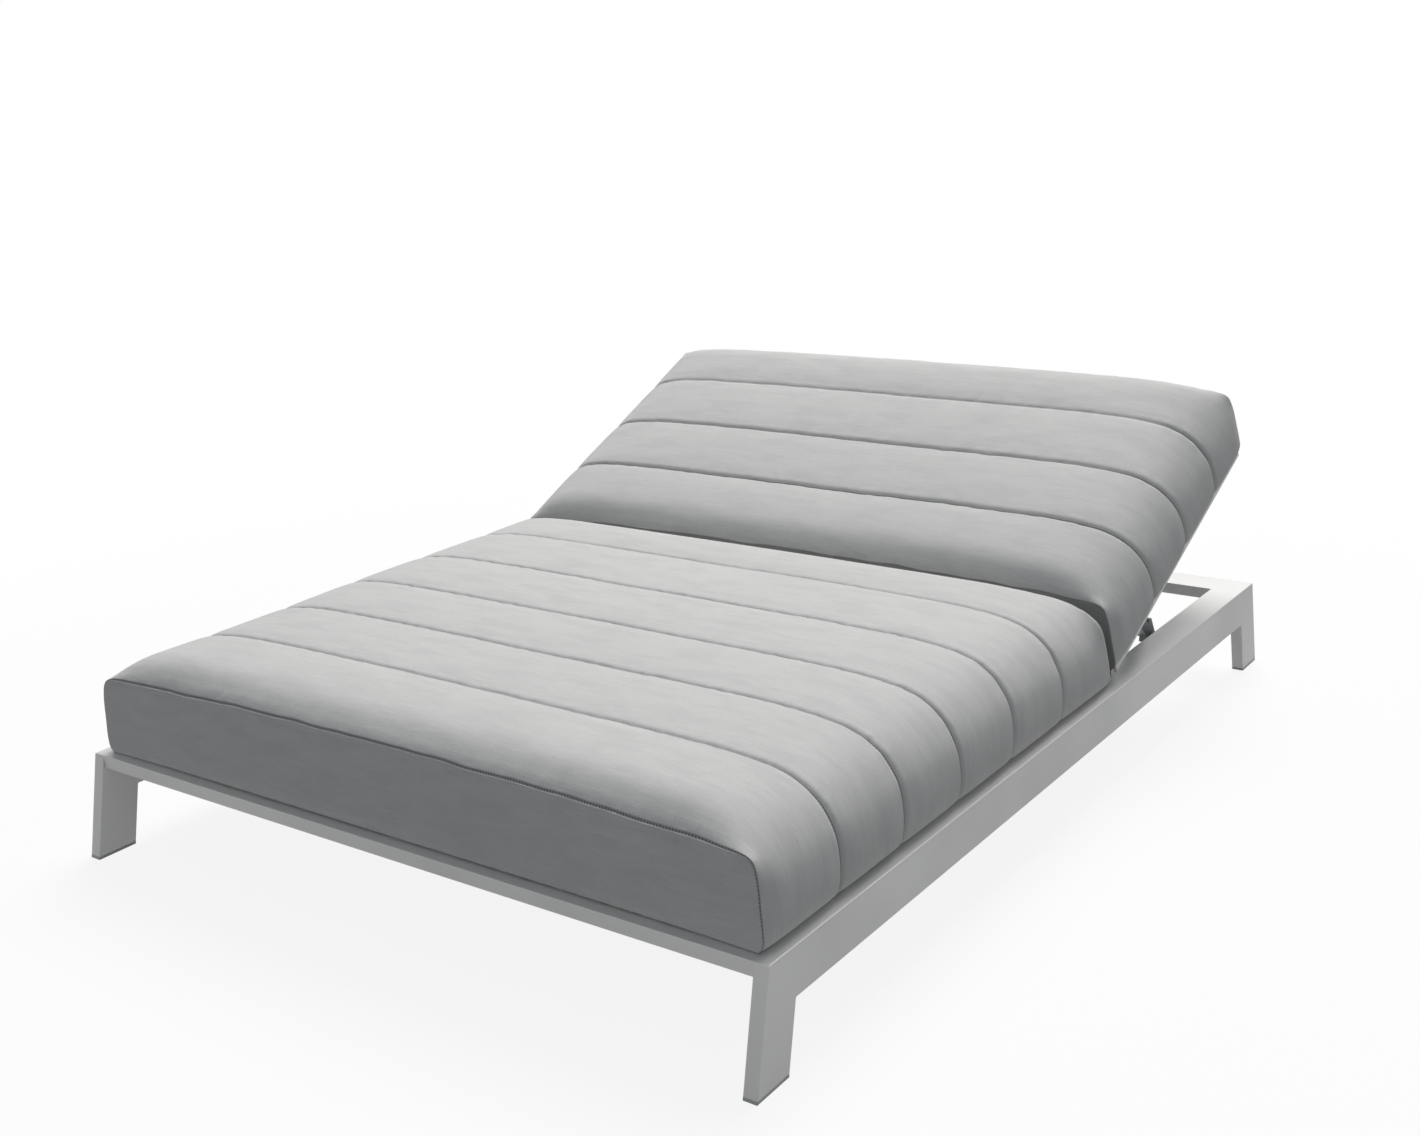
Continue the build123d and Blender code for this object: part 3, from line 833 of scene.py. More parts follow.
def spline(knots: np.ndarray, values: np.ndarray, at: np.ndarray) -> np.ndarray:
    """Read a smooth curve through given values.

    Args:
        knots: Places of the values, rising.
        values: The values, one row for each knot.
        at: Places to read.

    Returns:
        One row for each place.
    """
    slopes = np.gradient(values, knots, axis=0)
    index = np.clip(np.searchsorted(knots, at, side="right") - 1, 0, len(knots) - 2)
    width = knots[index + 1] - knots[index]
    t = (at - knots[index]) / width
    shape = (-1,) + (1,) * (values.ndim - 1)
    t, width = t.reshape(shape), width.reshape(shape)
    first, second = values[index], values[index + 1]
    rise_a, rise_b = slopes[index] * width, slopes[index + 1] * width
    cube, square = t**3, t**2
    return (
        (2 * cube - 3 * square + 1) * first
        + (cube - 2 * square + t) * rise_a
        + (3 * square - 2 * cube) * second
        + (cube - square) * rise_b
    )


def arc_length(points: np.ndarray) -> np.ndarray:
    """Return the length along a line of points up to each of them."""
    return np.r_[0.0, np.cumsum(np.linalg.norm(np.diff(points, axis=0), axis=1))]


def unit(vectors: np.ndarray) -> np.ndarray:
    """Return vectors drawn to a length of 1."""
    return vectors / np.maximum(np.linalg.norm(vectors, axis=-1, keepdims=True), TINY)


def beside(distance: np.ndarray, reach: float) -> np.ndarray:
    """Return 1 at a line, fading away on both sides of it."""
    return np.exp(-((distance / reach) ** 2))


def rising(distance: np.ndarray, reach: float, least: float = 0.0) -> np.ndarray:
    """Return the least share up to a line, rising to 1 at a reach beyond it."""
    return least + (1.0 - least) * np.clip(distance / reach, 0.0, 1.0)


def grid_faces(rows: int, columns: int) -> list[tuple[int, ...]]:
    """List the faces between the points of a grid.

    Args:
        rows: Its rows.
        columns: Its columns.

    Returns:
        The four corners of each face, counted row by row.
    """
    starts = [r * columns + c for r in range(rows - 1) for c in range(columns - 1)]
    return [(a, a + 1, a + columns + 1, a + columns) for a in starts]


def turned_out(mesh: bpy.types.Mesh, weld: float = 0.0) -> None:
    """Weld the near points of a closed mesh and turn its faces outwards.

    Args:
        mesh: The mesh.
        weld: Points nearer than this become one. Nothing is welded at 0.
    """
    form = bmesh.new()
    form.from_mesh(mesh)
    if weld:
        bmesh.ops.remove_doubles(form, verts=form.verts[:], dist=weld)
    bmesh.ops.recalc_face_normals(form, faces=form.faces[:])
    form.to_mesh(mesh)
    form.free()


@dataclass(frozen=True)
class CushionCut:
    """Half outlines of a cushion from its middle to its lower edge, in millimetres."""

    seam: tuple[Pair, ...] = (
        (0, 200), (220, 199.6), (420, 198.2), (530, 195.5), (600, 189.5), (650, 180),
        (685, 163), (710, 138), (727, 108), (735, 66), (734.5, 30), (730, 9), (719, 0),
    )
    foot: tuple[Pair, ...] = (
        (0, 166), (220, 164.8), (420, 160.5), (530, 156.8), (600, 153.6), (653, 150.5),
        (690, 147), (714.5, 138.5), (722, 112), (725, 66), (727.5, 30), (727, 9), (719, 0),
    )
    head: tuple[Pair, ...] = (
        (0, 182), (220, 182), (420, 182), (530, 181), (600, 180), (650, 177), (683, 172),
        (710, 160), (728, 139), (734.5, 80), (734.5, 30), (730, 9), (719, 0),
    )
    swell: tuple[float, ...] = (5, 5, 5, 5, 4.5, 3, 2, 2.4, 3.2, 4, 4, 2.5, 0)


@dataclass(frozen=True)
class Filling:
    """How firmly a cover is blown up, and how much of that it keeps."""

    pressure: float = 4.0
    stretch: float = 30.0
    shear: float = 15.0
    bend: float = 2.0
    quality: int = 6
    frames: int = 20
    column_step: int = 3
    cap: float = 14.0 * MM
    share: float = 0.4
    shoulder_share: float = 0.15


@dataclass(frozen=True)
class Wear:
    """Small dents, puckers and wandering seams of a sewn cover."""

    dents: int = 9
    dent_waves: Pair = (9.0, 14.0)
    dent_height: float = 0.32 * MM
    puckers: int = 10
    pucker_pitch: Pair = (100.0, 260.0)
    pucker_slant: Pair = (-40.0, 40.0)
    pucker_height: float = 0.22 * MM
    pucker_reach: float = 16.0 * MM
    pucker_start: float = 4.0 * MM
    wander: float = 0.6 * MM
    wander_waves: int = 6
    wander_pitch: Pair = (15.0, 80.0)
    wander_reach: float = 14.0 * MM
    wander_foot: float = 40.0 * MM


@dataclass
class ChannelCushion:
    """A cushion sewn into channels across its width, with a flat panel at each end."""

    name: str
    node: str
    body: Body
    origin: Vector
    along: Vector
    up: Vector
    seams: list[float]
    leans_deg: Pair
    crown_drop: float
    seam_pulls: tuple[float, ...]
    facing_end: End
    seed: int
    cut: CushionCut = CushionCut()
    filling: Filling = Filling()
    wear: Wear = Wear()
    columns: int = 184
    rows: int = 12
    panel_rows: int = 10
    panel_height: float = 160.0 * MM
    panel_low_shares: tuple[float, ...] = (0.89, 0.93, 0.965, 1.0)
    panel_bulge: float = 5.0 * MM
    bulge_power: float = 0.7
    rim_power: int = 6
    base_steps: tuple[int, ...] = (0, 1, 2, 4, 8, 16, 32, 60)
    roll_width: float = 72.0 * MM
    roll_power: float = 2.6
    puff_power: float = 6.0
    row_ease: float = 0.6
    groove_depth: float = 3.8 * MM
    groove_width: float = 4.8 * MM
    crease_depth: float = 2.4 * MM
    crease_width: float = 2.0 * MM
    groove_foot: float = 30.0 * MM
    least_groove: float = 0.35
    edge_tuck: float = 3.0 * MM
    least_tuck: float = 0.3
    tuck_centre: float = 70.0 * MM
    tuck_start: float = 620.0 * MM
    tuck_side: float = 90.0 * MM
    tuck_in: float = 60.0 * MM
    foot_tuck: float = 6.0 * MM
    foot_round: float = 0.11
    tuck_reach: float = 30.0 * MM
    near_seam: tuple[float, ...] = (1.4 * MM, 3.2 * MM, 6.0 * MM, 10.0 * MM)
    row_gap: float = 3.0 * MM
    faint_groove_shade: float = 2.6 * MM
    pull_reach: float = 25.0 * MM
    side_start: float = 600.0 * MM
    side_ease: float = 100.0 * MM
    # Share of painted shade on the end that faces the other cushion, for the shade in the gap
    # between them.
    end_shade: float = 0.62
    weld_reach: float = 0.02 * MM

    def __post_init__(self) -> None:
        """Seed the small unevenness of this cushion."""
        self.chance = np.random.default_rng(self.seed)

    def build(self, finishes: Finishes) -> None:
        """Build, fill, sew and hang the cushion.

        Args:
            finishes: The lounger's materials.
        """
        top, stations = self._shell()
        piece = self._sewn(self._filled(top), stations)
        finishes.dress(piece, Slot.FABRIC)
        publish(piece, self.body, (self.node,))

    def _places(self) -> tuple[np.ndarray, np.ndarray]:
        """Measure along the seam's outline from its middle.

        Returns:
            Places of the points of the outline, and of the columns.
        """
        length = arc_length(np.array(self.cut.seam, float) * MM)
        full = np.r_[-length[::-1], length[1:]]
        return full, np.linspace(full[0], full[-1], self.columns + 1)

    def _outline(self, points: tuple[Pair, ...]) -> np.ndarray:
        """Read a half outline on every column, from the left lower edge to the right one.

        Args:
            points: Half outline from the middle outwards.

        Returns:
            X and height of each column, in metres.
        """
        half = np.array(points, float) * MM
        full, columns = self._places()
        return spline(full, np.concatenate([half[::-1] * (-1.0, 1.0), half[1:]]), columns)

    def _swell(self) -> np.ndarray:
        """Read how far the cover may swell.

        Returns:
            The swell of each column, in metres.
        """
        swell = np.array(self.cut.swell, float) * MM
        full, columns = self._places()
        return np.interp(columns, full, np.r_[swell[::-1], swell[1:]])

    def _shell(self) -> tuple[np.ndarray, np.ndarray]:
        """Lay out the unfilled cover.

        Returns:
            Grid of local points of the top and sides, and the place of each row along them.
        """
        seam, foot, head = map(self._outline, (self.cut.seam, self.cut.foot, self.cut.head))
        swell = self._swell()
        seam[:, 1] -= self.crown_drop * np.clip(seam[:, 1] / seam[:, 1].max(), 0, 1)
        tangent = np.gradient(seam, axis=0)
        normal = unit(np.stack([-tangent[:, 1], tangent[:, 0]], axis=1))
        normal *= np.sign(normal[self.columns // 2, 1])
        grid, stations = [], []
        last = len(self.seams) - 2
        for number, (first, final) in enumerate(zip(self.seams, self.seams[1:])):
            for row in range(self.rows + (number == last)):
                t = self._eased(row / self.rows)
                share, offset, end = 1.0, 0.0, foot
                if number == 0:
                    share = self._roll(t * (final - first))
                    offset = self._lean(foot[:, 1], self.leans_deg[0]) * (1 - t)
                if number == last:
                    share, end = self._roll((1 - t) * (final - first)), head
                    offset = self._lean(head[:, 1], self.leans_deg[1]) * t
                section = end * (1 - share) + seam * share
                puff = (1 - abs(2 * t - 1) ** self.puff_power) * swell
                section = section + normal * puff[:, None]
                s = first + (final - first) * t
                place = np.full(self.columns + 1, s) + offset
                grid.append(np.stack([section[:, 0], place, section[:, 1]], axis=1))
                stations.append(s)
        top = np.array(grid)
        for index, lean in zip((0, -1), self.leans_deg):
            top[index, :, 2] *= math.cos(math.radians(lean))
        return top, np.array(stations)

    def _eased(self, share: float) -> float:
        """Return the place of a row in its channel, drawn towards the seams."""
        close = (1 - math.cos(math.pi * share)) / 2
        return self.row_ease * close + (1 - self.row_ease) * share

    def _roll(self, distance: float) -> float:
        """Return how far the cover has rolled up to its full height at a distance from its end."""
        return 1 - (1 - min(1.0, distance / self.roll_width)) ** self.roll_power

    @staticmethod
    def _lean(height: np.ndarray, lean_deg: float) -> np.ndarray:
        """Return how far a leaning panel moves back at each height."""
        return -height * math.sin(math.radians(lean_deg))

    def _rim(self, x: np.ndarray, half: float) -> np.ndarray:
        """Return 1 over most of an end, falling to 0 at its two corners."""
        return np.clip(1 - (np.abs(x) / half) ** self.rim_power, 0, 1)

    def _panel(self, edge: np.ndarray, end: End) -> np.ndarray:
        """Fill an end panel between its sewn edge and its lower edge.

        Args:
            edge: Points of the sewn edge.
            end: The end of the cushion that the panel closes, where it bulges outwards.

        Returns:
            Grid of points from the sewn edge down.
        """
        count = self.columns + 1
        lower = np.zeros((count, 3))
        lower[:, 0] = np.linspace(edge[0, 0], edge[-1, 0], count)
        lower[:, 1] = (edge[0, 1] + edge[-1, 1]) / 2
        near = np.array(self.near_seam) / self.panel_height
        middle = np.linspace(near[-1], self.panel_low_shares[0], self.panel_rows)[1:]
        steps = np.r_[0.0, near, middle, self.panel_low_shares[1:]]
        grid = np.array([edge * (1 - t) + lower * t for t in steps])
        high = grid[..., 2] / edge[:, 2].max()
        bulge = self.panel_bulge * np.clip(4 * high * (1 - high), 0, 1) ** self.bulge_power
        tuck = self.foot_tuck * np.clip(1 - high / self.foot_round, 0, 1) ** 2
        grid[..., 1] += end.value * self._rim(grid[..., 0], abs(edge[0, 0])) * (bulge - tuck)
        return grid

    def _filled(self, top: np.ndarray) -> np.ndarray:
        """Fill the cover, least at its shoulders.

        Args:
            top: Grid of the unfilled cover.

        Returns:
            The same grid, filled.
        """
        filling = self.filling
        every = np.arange(self.columns + 1.0)
        picked = np.unique(np.r_[every[::filling.column_step], every[-1]])
        coarse = top[:, picked.astype(int)]
        change = self._blown(coarse) - coarse
        size = np.linalg.norm(change, axis=2, keepdims=True)
        LOG.info("%s: cloth moved up to %.1f mm", self.name, size.max() / MM)
        change *= np.minimum(1.0, filling.cap / np.maximum(size, TINY))
        change = spline(picked, change.transpose(1, 0, 2), every).transpose(1, 0, 2)
        swell = self._swell()
        slack = rising(swell**2, swell.max() ** 2, filling.shoulder_share)
        return top + change * (filling.share * slack[None, :, None])

    def _blown(self, top: np.ndarray) -> np.ndarray:
        """Blow a closed cover up with a short cloth simulation, held at its seams and base.

        Args:
            top: Grid of the cover's points.

        Returns:
            The grid as the pressure leaves it.
        """
        rows, columns = top.shape[:2]
        index = np.arange(rows * columns).reshape(rows, columns)
        faces = grid_faces(rows, columns)
        outer = np.r_[index[:, 0], index[::-1, -1]]
        faces += [tuple(loop.tolist()) for loop in (index[0], index[-1, ::-1], outer)]
        mesh = bpy.data.meshes.new(f"{self.name}_cover")
        mesh.from_pydata([tuple(p) for p in top.reshape(-1, 3)], [], faces)
        turned_out(mesh)
        cover = bpy.data.objects.new(f"{self.name}_cover", mesh)
        scene = bpy.context.scene
        scene.collection.objects.link(cover)
        sewn = [min(number * self.rows, rows - 1) for number in range(len(self.seams))]
        held = np.unique(np.r_[index[sewn].reshape(-1), outer])
        cover.vertex_groups.new(name="held").add(held.tolist(), 1.0, "REPLACE")
        cloth = cover.modifiers.new("fill", "CLOTH")
        settings = cloth.settings
        settings.quality = self.filling.quality
        settings.vertex_group_mass = "held"
        settings.use_pressure = True
        settings.uniform_pressure_force = self.filling.pressure
        settings.tension_stiffness = self.filling.stretch
        settings.compression_stiffness = self.filling.stretch
        settings.shear_stiffness = self.filling.shear
        settings.bending_stiffness = self.filling.bend
        settings.effector_weights.gravity = 0.0
        cloth.collision_settings.use_self_collision = False
        cloth.point_cache.frame_start = 1
        cloth.point_cache.frame_end = self.filling.frames
        for step in range(1, self.filling.frames + 1):
            scene.frame_set(step)
        result = cover.evaluated_get(bpy.context.evaluated_depsgraph_get()).to_mesh()
        moved = np.empty(len(result.vertices) * 3)
        result.vertices.foreach_get("co", moved)
        scene.frame_set(1)
        bpy.data.objects.remove(cover)
        return moved.reshape(top.shape)

    def _uneven(self, top: np.ndarray, seam_distance: np.ndarray) -> np.ndarray:
        """Work out small dents and puckers of a used cushion.

        Args:
            top: Grid of points.
            seam_distance: Distance of each row to its nearest seam.

        Returns:
            Height to add at each point, in metres.
        """
        wear = self.wear
        x, s = top[..., 0], top[..., 1]
        height = np.zeros(x.shape)
        for _ in range(wear.dents):
            waves = self.chance.uniform(-1, 1, 2) * wear.dent_waves
            phase = self.chance.uniform(0, TURN)
            height += wear.dent_height * np.sin(waves[0] * x + waves[1] * s + phase)
        near = beside(seam_distance, wear.pucker_reach) * rising(seam_distance, wear.pucker_start)
        for _ in range(wear.puckers):
            pitch = self.chance.uniform(*wear.pucker_pitch)
            slant = self.chance.uniform(*wear.pucker_slant)
            phase = self.chance.uniform(0, TURN)
            height += wear.pucker_height * near * np.sin(pitch * x + slant * s + phase)
        return height

    def _wandered(self, top: np.ndarray, stations: np.ndarray) -> np.ndarray:
        """Let each seam wander a little from its straight line, as a hand-guided one does.

        Args:
            top: Grid of points.
            stations: Place of each row along the cushion.

        Returns:
            The grid with its seams moved along the cushion, and the end seams up and down as well.
        """
        wear = self.wear
        slow = wear.wander_pitch[0]
        across = top[len(top) // 2, :, 0]
        low = rising(top[..., 2], wear.wander_foot)
        moved = top.copy()
        for seam in self.seams:
            shift = np.zeros(across.shape)
            for _ in range(wear.wander_waves):
                pitch = self.chance.uniform(*wear.wander_pitch)
                phase = self.chance.uniform(0, TURN)
                shift += wear.wander * 2 * slow / (pitch + slow) * np.sin(pitch * across + phase)
            step = beside(stations - seam, wear.wander_reach)[:, None] * shift[None, :] * low
            moved[..., 1] += step
            if seam in (self.seams[0], self.seams[-1]):
                moved[..., 2] += step
        return moved

    def _sewn(self, top: np.ndarray, stations: np.ndarray) -> Piece:
        """Sew the seams into the filled cover and close it with its panels and base.

        Args:
            top: Grid of the filled cover.
            stations: Place of each row along the cushion.

        Returns:
            The finished mesh object, in the row frame.
        """
        top, stations = self._with_seam_rows(top, stations)
        top = self._wandered(top, stations)
        low = rising(top[..., 2], self.groove_foot)
        apart = np.abs(stations[:, None] - np.array(self.seams))
        spread = np.broadcast_to(apart.min(axis=1)[:, None], top.shape[:2])
        side = rising(np.abs(top[..., 0]) - self.side_start, self.side_ease)
        pull = self._pull(stations)[:, None]
        pull = pull + (1.0 - pull) * side
        groove = self._groove(apart[:, 1:-1].min(axis=1))[:, None] * pull
        fade = rising(top[..., 2], self.groove_foot, self.least_groove)
        normal = unit(np.cross(np.gradient(top, axis=1), np.gradient(top, axis=0)))
        top = top + normal * (self._uneven(top, spread) * low - groove * fade)[..., None]
        panels = self._panel(top[0], End.FOOT), self._panel(top[-1], End.HEAD)
        for row, panel in zip((0, -1), panels):
            panel[0] = top[row] = self._tucked(top[row], low[row])
        # Looser seams start their seam distance further out, so their painted groove shade is
        # fainter.
        seam = spread + (1.0 - pull) * self.faint_groove_shade
        return self._smoothed(self._closed(top, stations, seam, panels))

    def _groove(self, distance: np.ndarray) -> np.ndarray:
        """Return the depth of a firm seam's groove and crease at a distance from its line."""
        groove = self.groove_depth * beside(distance, self.groove_width)
        return groove + self.crease_depth * beside(distance, self.crease_width)

    def _tucked(self, edge: np.ndarray, low: np.ndarray) -> np.ndarray:
        """Draw the piped edge of an end inwards.

        Args:
            edge: Points of the edge.
            low: 0 at the foot of the cushion, rising to 1 above it.

        Returns:
            The points where the piping draws them.
        """
        inward = np.array([0.0, np.mean(self.seams), self.tuck_centre]) - edge
        sideways = np.clip(np.abs(edge[:, 0]) - self.tuck_start, 0, self.tuck_side)
        inward[:, 0] = np.sign(inward[:, 0]) * sideways
        inward[:, 1] = np.sign(inward[:, 1]) * self.tuck_in
        tuck = self.edge_tuck * (self.least_tuck + (1.0 - self.least_tuck) * low)
        return edge + unit(inward) * tuck[:, None]

    def _closed(
        self, top: np.ndarray, stations: np.ndarray, seam: np.ndarray,
        panels: tuple[np.ndarray, np.ndarray],
    ) -> Piece:
        """Join the top with its panels and base into one closed mesh.

        Args:
            top: Grid of the top and sides.
            stations: Place of each row along the cushion.
            seam: Distance of each point of the grid to its nearest cross seam.
            panels: Grids of the front panel and the rear one.

        Returns:
            The mesh object, in the row frame.
        """
        store = MeshStore()
        arc = arc_length(top[len(top) // 2])
        arc -= arc[-1] / 2
        # The lower edges count as seams here, so the painted seam shade also runs along them, where
        # the cushion sits on the frame.
        hem = np.minimum(arc - arc[0], arc[-1] - arc)
        store.sheet(top, arc, stations[:, None], np.minimum(seam, hem), True)
        for panel, end in zip(panels, End):
            along = stations[0] - (panel[0, :, 2].max() - panel[..., 2]) * end.value
            # A panel's painted shade runs along its top seam and its lower edge.
            gap = np.minimum(np.linalg.norm(panel - panel[:1], axis=2), panel[..., 2])
            # Painted shade on the end that faces the other cushion.
            painted_shade = self.end_shade if end is self.facing_end else 0.0
            store.sheet(panel, panel[..., 0], along, gap, end is End.HEAD, painted_shade)
        base = self._base(top, panels[0][-1], panels[1][-1])
        steps = np.array(self.base_steps)
        kept = np.r_[steps, self.columns // 2, self.columns - steps[::-1]]
        inner = base[1:-1, kept]
        far = np.full(inner.shape[:2], NO_SEAM_NEAR)
        # The base's outer columns are lower edges, painted with the seam shade too.
        far[:, (0, -1)] = 0.0
        store.sheet(inner, inner[..., 0], inner[..., 1], far, False)
        for row in (0, -1):
            store.skirt(base[row], inner[row], kept)
        return store.piece(self.name, self._to_world(), self.weld_reach)

    def _smoothed(self, piece: Piece) -> Piece:
        """Divide a piece once more into a smooth one that keeps no modifier.

        Args:
            piece: The piece, which is used up.

        Returns:
            The new piece.
        """
        smooth = piece.modifiers.new("smooth", "SUBSURF")
        smooth.levels = 1
        smooth.render_levels = 1
        graph = bpy.context.evaluated_depsgraph_get()
        bpy.context.scene.collection.objects.link(piece)
        graph.update()
        finished = bpy.data.meshes.new_from_object(piece.evaluated_get(graph))
        bpy.data.objects.remove(piece)
        shade(finished, Sharp.CLOTH)
        return bpy.data.objects.new(self.name, finished)

    def _pull(self, stations: np.ndarray) -> np.ndarray:
        """Say how firmly the seam nearest each row is drawn in.

        Args:
            stations: Place of each row along the cushion.

        Returns:
            The pull at each row, 1 at the firmest.
        """
        pull = np.ones(stations.shape)
        for seam, firm in zip(self.seams[1:-1], self.seam_pulls):
            pull[np.abs(stations - seam) < self.pull_reach] = firm
        return pull

    def _with_seam_rows(
        self, top: np.ndarray, stations: np.ndarray
    ) -> tuple[np.ndarray, np.ndarray]:
        """Add close rows beside every seam.

        Args:
            top: Grid of points.
            stations: Place of each row along the cushion.

        Returns:
            The finer grid and its stations.
        """
        grids, places = [], []
        near = np.array(self.near_seam)
        channels = len(self.seams) - 1
        for number in range(channels):
            block = slice(number * self.rows, (number + 1) * self.rows + 1)
            knots = stations[block]
            regular = knots[1:-1]
            near_start, near_end = knots[0] + near, knots[-1] - near[::-1]
            clear = regular > near_start[-1] + self.row_gap
            clear &= regular < near_end[0] - self.row_gap
            at = np.r_[knots[0], near_start, regular[clear], near_end]
            if number == channels - 1:
                at = np.r_[at, knots[-1]]
            grids.append(spline(knots, top[block], at))
            places.append(at)
        return np.concatenate(grids), np.concatenate(places)

    def _base(self, top: np.ndarray, front: np.ndarray, rear: np.ndarray) -> np.ndarray:
        """Fill the flat underside.

        Args:
            top: Grid of the top and sides, whose outer columns are the lower edges.
            front: Lower edge of the front panel.
            rear: Lower edge of the rear panel.

        Returns:
            Grid of points with the same rows as the top.
        """
        share = np.linspace(0, 1, top.shape[1])[None, :, None]
        base = top[:, :1] * (1 - share) + top[:, -1:] * share
        rim = self._rim(base[..., 0], abs(base[0, 0, 0]))
        start, end = base[:1, :, 1], base[-1:, :, 1]
        near_start = np.exp(-(base[..., 1] - start) / self.tuck_reach)
        near_end = np.exp(-(end - base[..., 1]) / self.tuck_reach)
        base[..., 1] += self.foot_tuck * rim * (near_start - near_end)
        base[0], base[-1] = front, rear
        return base

    def _to_world(self) -> Matrix:
        """Return the turn and shift from the cushion's own directions to the row frame."""
        turn = Matrix((Vector((1.0, 0.0, 0.0)), self.along, self.up)).transposed()
        return Matrix.Translation(self.origin) @ turn.to_4x4()


class MeshStore:
    """Collects grids of points into one closed mesh with a weave map and seam distances."""

    def __init__(self) -> None:
        """Start empty."""
        self.points: list[np.ndarray] = []
        self.faces: list[tuple[int, ...]] = []
        self.weave: list[np.ndarray] = []
        self.seam: list[np.ndarray] = []
        self.painted_shade: list[np.ndarray] = []
        self.total = 0

    def add(
        self, points: np.ndarray, faces: list[tuple[int, ...]], weave: np.ndarray,
        seam: np.ndarray, painted_shade: float = 0.0,
    ) -> None:
        """Add points and the faces between them.

        Args:
            points: The points, one a row.
            faces: Corners of each face, counted among these points.
            weave: Place of each point across and along the threads.
            seam: Distance of each point to its nearest seam.
            painted_shade: Share of painted shade on its cloth, for the shade between the cushions.
        """
        for corners in faces:
            self.faces.append(tuple(self.total + corner for corner in corners))
            self.weave.append(weave[list(corners)])
        self.points.append(points)
        self.seam.append(seam)
        self.painted_shade.append(np.full(len(points), painted_shade))
        self.total += len(points)

    def sheet(
        self, grid: np.ndarray, u: np.ndarray, v: np.ndarray, seam: np.ndarray, flip: bool,
        painted_shade: float = 0.0,
    ) -> None:
        """Add one grid of points.

        Args:
            grid: Points, rows by columns.
            u: Place across the threads of each point.
            v: Place along the threads of each point.
            seam: Distance of each point to its nearest seam.
            flip: Whether the faces are wound the other way.
            painted_shade: Share of painted shade on its cloth, for the shade between the cushions.
        """
        shape = grid.shape[:2]
        u, v, seam = (np.broadcast_to(value, shape).reshape(-1) for value in (u, v, seam))
        faces = [face[::-1] if flip else face for face in grid_faces(*shape)]
        self.add(grid.reshape(-1, 3), faces, np.stack([u, v], axis=1), seam, painted_shade)

    def skirt(self, edge: np.ndarray, inner: np.ndarray, kept: np.ndarray) -> None:
        """Join a finely divided sewn edge to a coarser row.

        Args:
            edge: Points of the fine edge.
            inner: Points of the coarser row.
            kept: Columns of the fine edge that the coarser row has.
        """
        points = np.concatenate([edge, inner])
        faces = [
            (*range(first, last + 1), len(edge) + number + 1, len(edge) + number)
            for number, (first, last) in enumerate(zip(kept, kept[1:]))
        ]
        seam = np.r_[np.zeros(len(edge)), np.full(len(inner), NO_SEAM_NEAR)]
        self.add(points, faces, points[:, :2], seam)

    def piece(self, name: str, place: Matrix, weld: float) -> Piece:
        """Make the mesh and weld its grids together.

        Args:
            name: Name of the piece.
            place: Where it goes in the row frame.
            weld: Points nearer than this become one.

        Returns:
            The new object.
        """
        mesh = bpy.data.meshes.new(name)
        mesh.from_pydata(np.concatenate(self.points).tolist(), [], self.faces)
        layer = mesh.uv_layers.new(name=WEAVE_UV)
        layer.data.foreach_set("uv", np.concatenate(self.weave).astype(np.float32).reshape(-1))
        for mark, values in ((SEAM_ATTRIBUTE, self.seam), (SHADE_ATTRIBUTE, self.painted_shade)):
            attribute = mesh.attributes.new(mark, "FLOAT", "POINT")
            attribute.data.foreach_set("value", np.concatenate(values).astype(np.float32))
        turned_out(mesh, weld)
        mesh.transform(place)
        return bpy.data.objects.new(name, mesh)


@dataclass
class Upholstery:
    """Both cushions of the lounger."""

    hinge: Triple = (0.0, 0.269, 0.2085)
    recline_deg: float = 24.0
    seat_place: Triple = (0.0, -0.951, 0.1953)
    seat_length: float = 1.1765
    seat_seam_shares: tuple[float, ...] = (0.0, 0.167, 0.326, 0.481, 0.646, 0.814, 1.0)
    seat_seam_pulls: tuple[float, ...] = (0.72, 0.72, 0.72, 0.74, 0.38)
    seat_leans_deg: Pair = (0.0, 17.0)
    seat_crown_drop: float = 0.0
    seat_seed: int = 11
    back_start: float = -5.0 * MM
    back_base: float = 10.3 * MM
    back_length: float = 0.721
    back_seam_shares: tuple[float, ...] = (0.0, 0.274, 0.517, 0.76, 1.0)
    back_seam_pulls: tuple[float, ...] = (1.0, 0.68, 0.34)
    back_leans_deg: Pair = (-8.0, 0.0)
    back_crown_drop: float = 4.0 * MM
    back_seed: int = 23

    def build(self, finishes: Finishes) -> None:
        """Build the seat cushion and the backrest cushion.

        Args:
            finishes: The lounger's materials.
        """
        seat = ChannelCushion(
            "seat_cushion_sewn", "seat_cushion", Body.BASE, Vector(self.seat_place),
            *self._ways(0.0), [self.seat_length * share for share in self.seat_seam_shares],
            self.seat_leans_deg, self.seat_crown_drop, self.seat_seam_pulls, End.HEAD,
            self.seat_seed,
        )
        seat.build(finishes)
        along, up = self._ways(self.recline_deg)
        back = ChannelCushion(
            "back_cushion_sewn", "back_cushion", Body.BACK,
            Vector(self.hinge) + along * self.back_start + up * self.back_base,
            along, up, [self.back_length * share for share in self.back_seam_shares],
            self.back_leans_deg, self.back_crown_drop, self.back_seam_pulls, End.FOOT,
            self.back_seed, CushionCut(head=CushionCut.foot),
        )
        back.build(finishes)

    @staticmethod
    def _ways(lean_deg: float) -> tuple[Vector, Vector]:
        """Work out how a cushion lies.

        Args:
            lean_deg: How far it is raised from lying flat.

        Returns:
            The directions along it and up from it.
        """
        angle = math.radians(lean_deg)
        run, rise = math.cos(angle), math.sin(angle)
        return Vector((0.0, run, rise)), Vector((0.0, -rise, run))


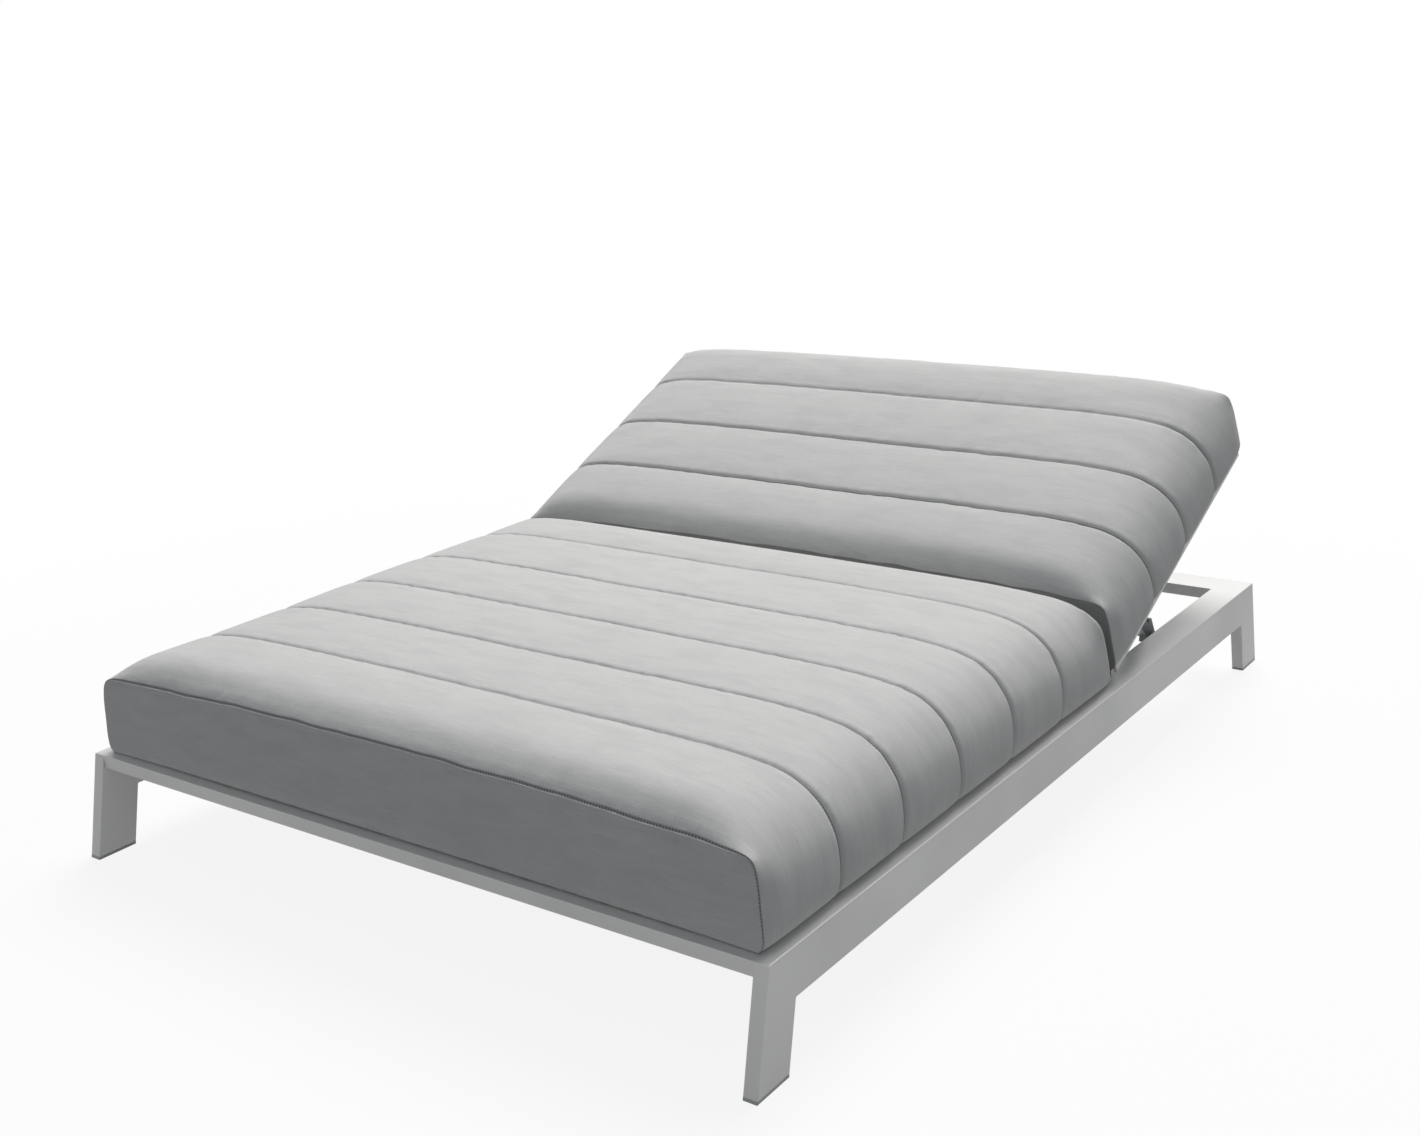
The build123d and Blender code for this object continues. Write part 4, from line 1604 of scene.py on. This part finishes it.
@dataclass
class Studio:
    """White floor, soft light and the camera at the photograph's place."""

    camera_place: Triple = (1.9404, -2.6767, 1.392)
    look: Triple = (-0.56775, 0.77068, -0.28932)
    right: Triple = (0.81249, 0.58112, -0.04641)
    lens: float = 43.67
    sensor: float = 36.0
    key_place: Triple = (-1.6, 6.5, 12.0)
    key_aim: Triple = (0.0, 0.0, 0.25)
    key_size: float = 8.0
    key_power: float = 1680.0
    key_colour: Triple = (1.0, 0.988, 0.965)
    daylight: Triple = (0.925, 0.965, 1.015)
    daylight_strength: float = 0.265
    floor_size: float = 60.0
    white: Triple = (0.9, 0.9, 0.9)
    bounce: Triple = (0.31, 0.31, 0.31)
    dust_scale: float = 2.0
    dust_span: Pair = (0.3, 0.7)
    floor_roughness: Pair = (0.9, 0.95)
    shadow_share: float = 0.12
    shadow_reach: Pair = (1.7, 3.0)

    def build(self) -> None:
        """Set up the floor, the light and the camera."""
        self._floor()
        self._world()
        self._key()
        self._camera()
        bpy.context.scene.view_settings.view_transform = "Standard"

    def _floor(self) -> None:
        """Lay the floor: white where it is seen, a mid grey for the light that it throws back."""
        size = self.floor_size / 2
        mesh = bpy.data.meshes.new("floor")
        corners = [(-size, -size, 0), (size, -size, 0), (size, size, 0), (-size, size, 0)]
        mesh.from_pydata(corners, [], [(0, 1, 2, 3)])
        floor = bpy.data.objects.new("floor", mesh)
        bpy.context.scene.collection.objects.link(floor)
        paint = Painter("floor_white")
        seen, place = paint.seen(), paint.place()
        dust = paint.noise(place, self.dust_scale)
        roughness = paint.span(dust, self.dust_span, self.floor_roughness)
        paint.feed(paint.shader.inputs["Base Color"], paint.tinted(seen, self.bounce, self.white))
        paint.feed(paint.shader.inputs["Roughness"], roughness)
        paint.shader.inputs["Specular IOR Level"].default_value = 0.0
        reach = paint.add("ShaderNodeVectorMath", operation="LENGTH")
        paint.feed(reach.inputs[0], place)
        lit = (1.0 - self.shadow_share, 1.0)
        share = paint.times(seen, paint.span(reach.outputs["Value"], self.shadow_reach, lit))
        white = paint.add("ShaderNodeEmission").outputs[0]
        paint.show(share, paint.shader.outputs[0], white, "Material Output")
        mesh.materials.append(paint.material)

    def _world(self) -> None:
        """Light the world plainly, and show it white."""
        world = bpy.data.worlds.new("studio")
        bpy.context.scene.world = world
        world.use_nodes = True
        sky = Wiring(world.node_tree)
        plain = sky.tree.nodes["Background"]
        plain.inputs["Color"].default_value = (*self.daylight, 1.0)
        plain.inputs["Strength"].default_value = self.daylight_strength
        white = sky.add("ShaderNodeBackground")
        white.inputs["Color"].default_value = (1.0, 1.0, 1.0, 1.0)
        sky.show(sky.seen(), plain.outputs[0], white.outputs[0], "World Output")

    def _key(self) -> None:
        """Hang the soft square lamp that looks at the lounger."""
        light = bpy.data.lights.new("key", "AREA")
        light.shape = "SQUARE"
        light.size = self.key_size
        light.energy = self.key_power
        light.color = self.key_colour
        lamp = bpy.data.objects.new("key", light)
        lamp.location = self.key_place
        aim = Vector(self.key_aim) - Vector(self.key_place)
        lamp.rotation_euler = aim.to_track_quat("-Z", "Y").to_euler()
        bpy.context.scene.collection.objects.link(lamp)

    def _camera(self) -> None:
        """Place the camera where the photograph was taken from."""
        data = bpy.data.cameras.new("camera")
        data.lens = self.lens
        data.sensor_fit = "HORIZONTAL"
        data.sensor_width = self.sensor
        camera = bpy.data.objects.new("camera", data)
        look = Vector(self.look).normalized()
        right = Vector(self.right)
        right = (right - look * right.dot(look)).normalized()
        turn = Matrix((right, right.cross(look), -look)).transposed().to_4x4()
        camera.matrix_world = Matrix.Translation(self.camera_place) @ turn
        bpy.context.scene.collection.objects.link(camera)
        bpy.context.scene.camera = camera


def main() -> None:
    """Build the lounger's sub-assemblies in order."""
    logging.basicConfig(level=logging.INFO, format="%(name)s %(message)s")
    finishes = Finishes()
    for assembly in (MetalFrame(), BackFrame(), PropStay(), Upholstery(), Hardware()):
        assembly.build(finishes)
        LOG.info("%s done", type(assembly).__name__)
    Studio().build()


if __name__ == "__main__":
    main()
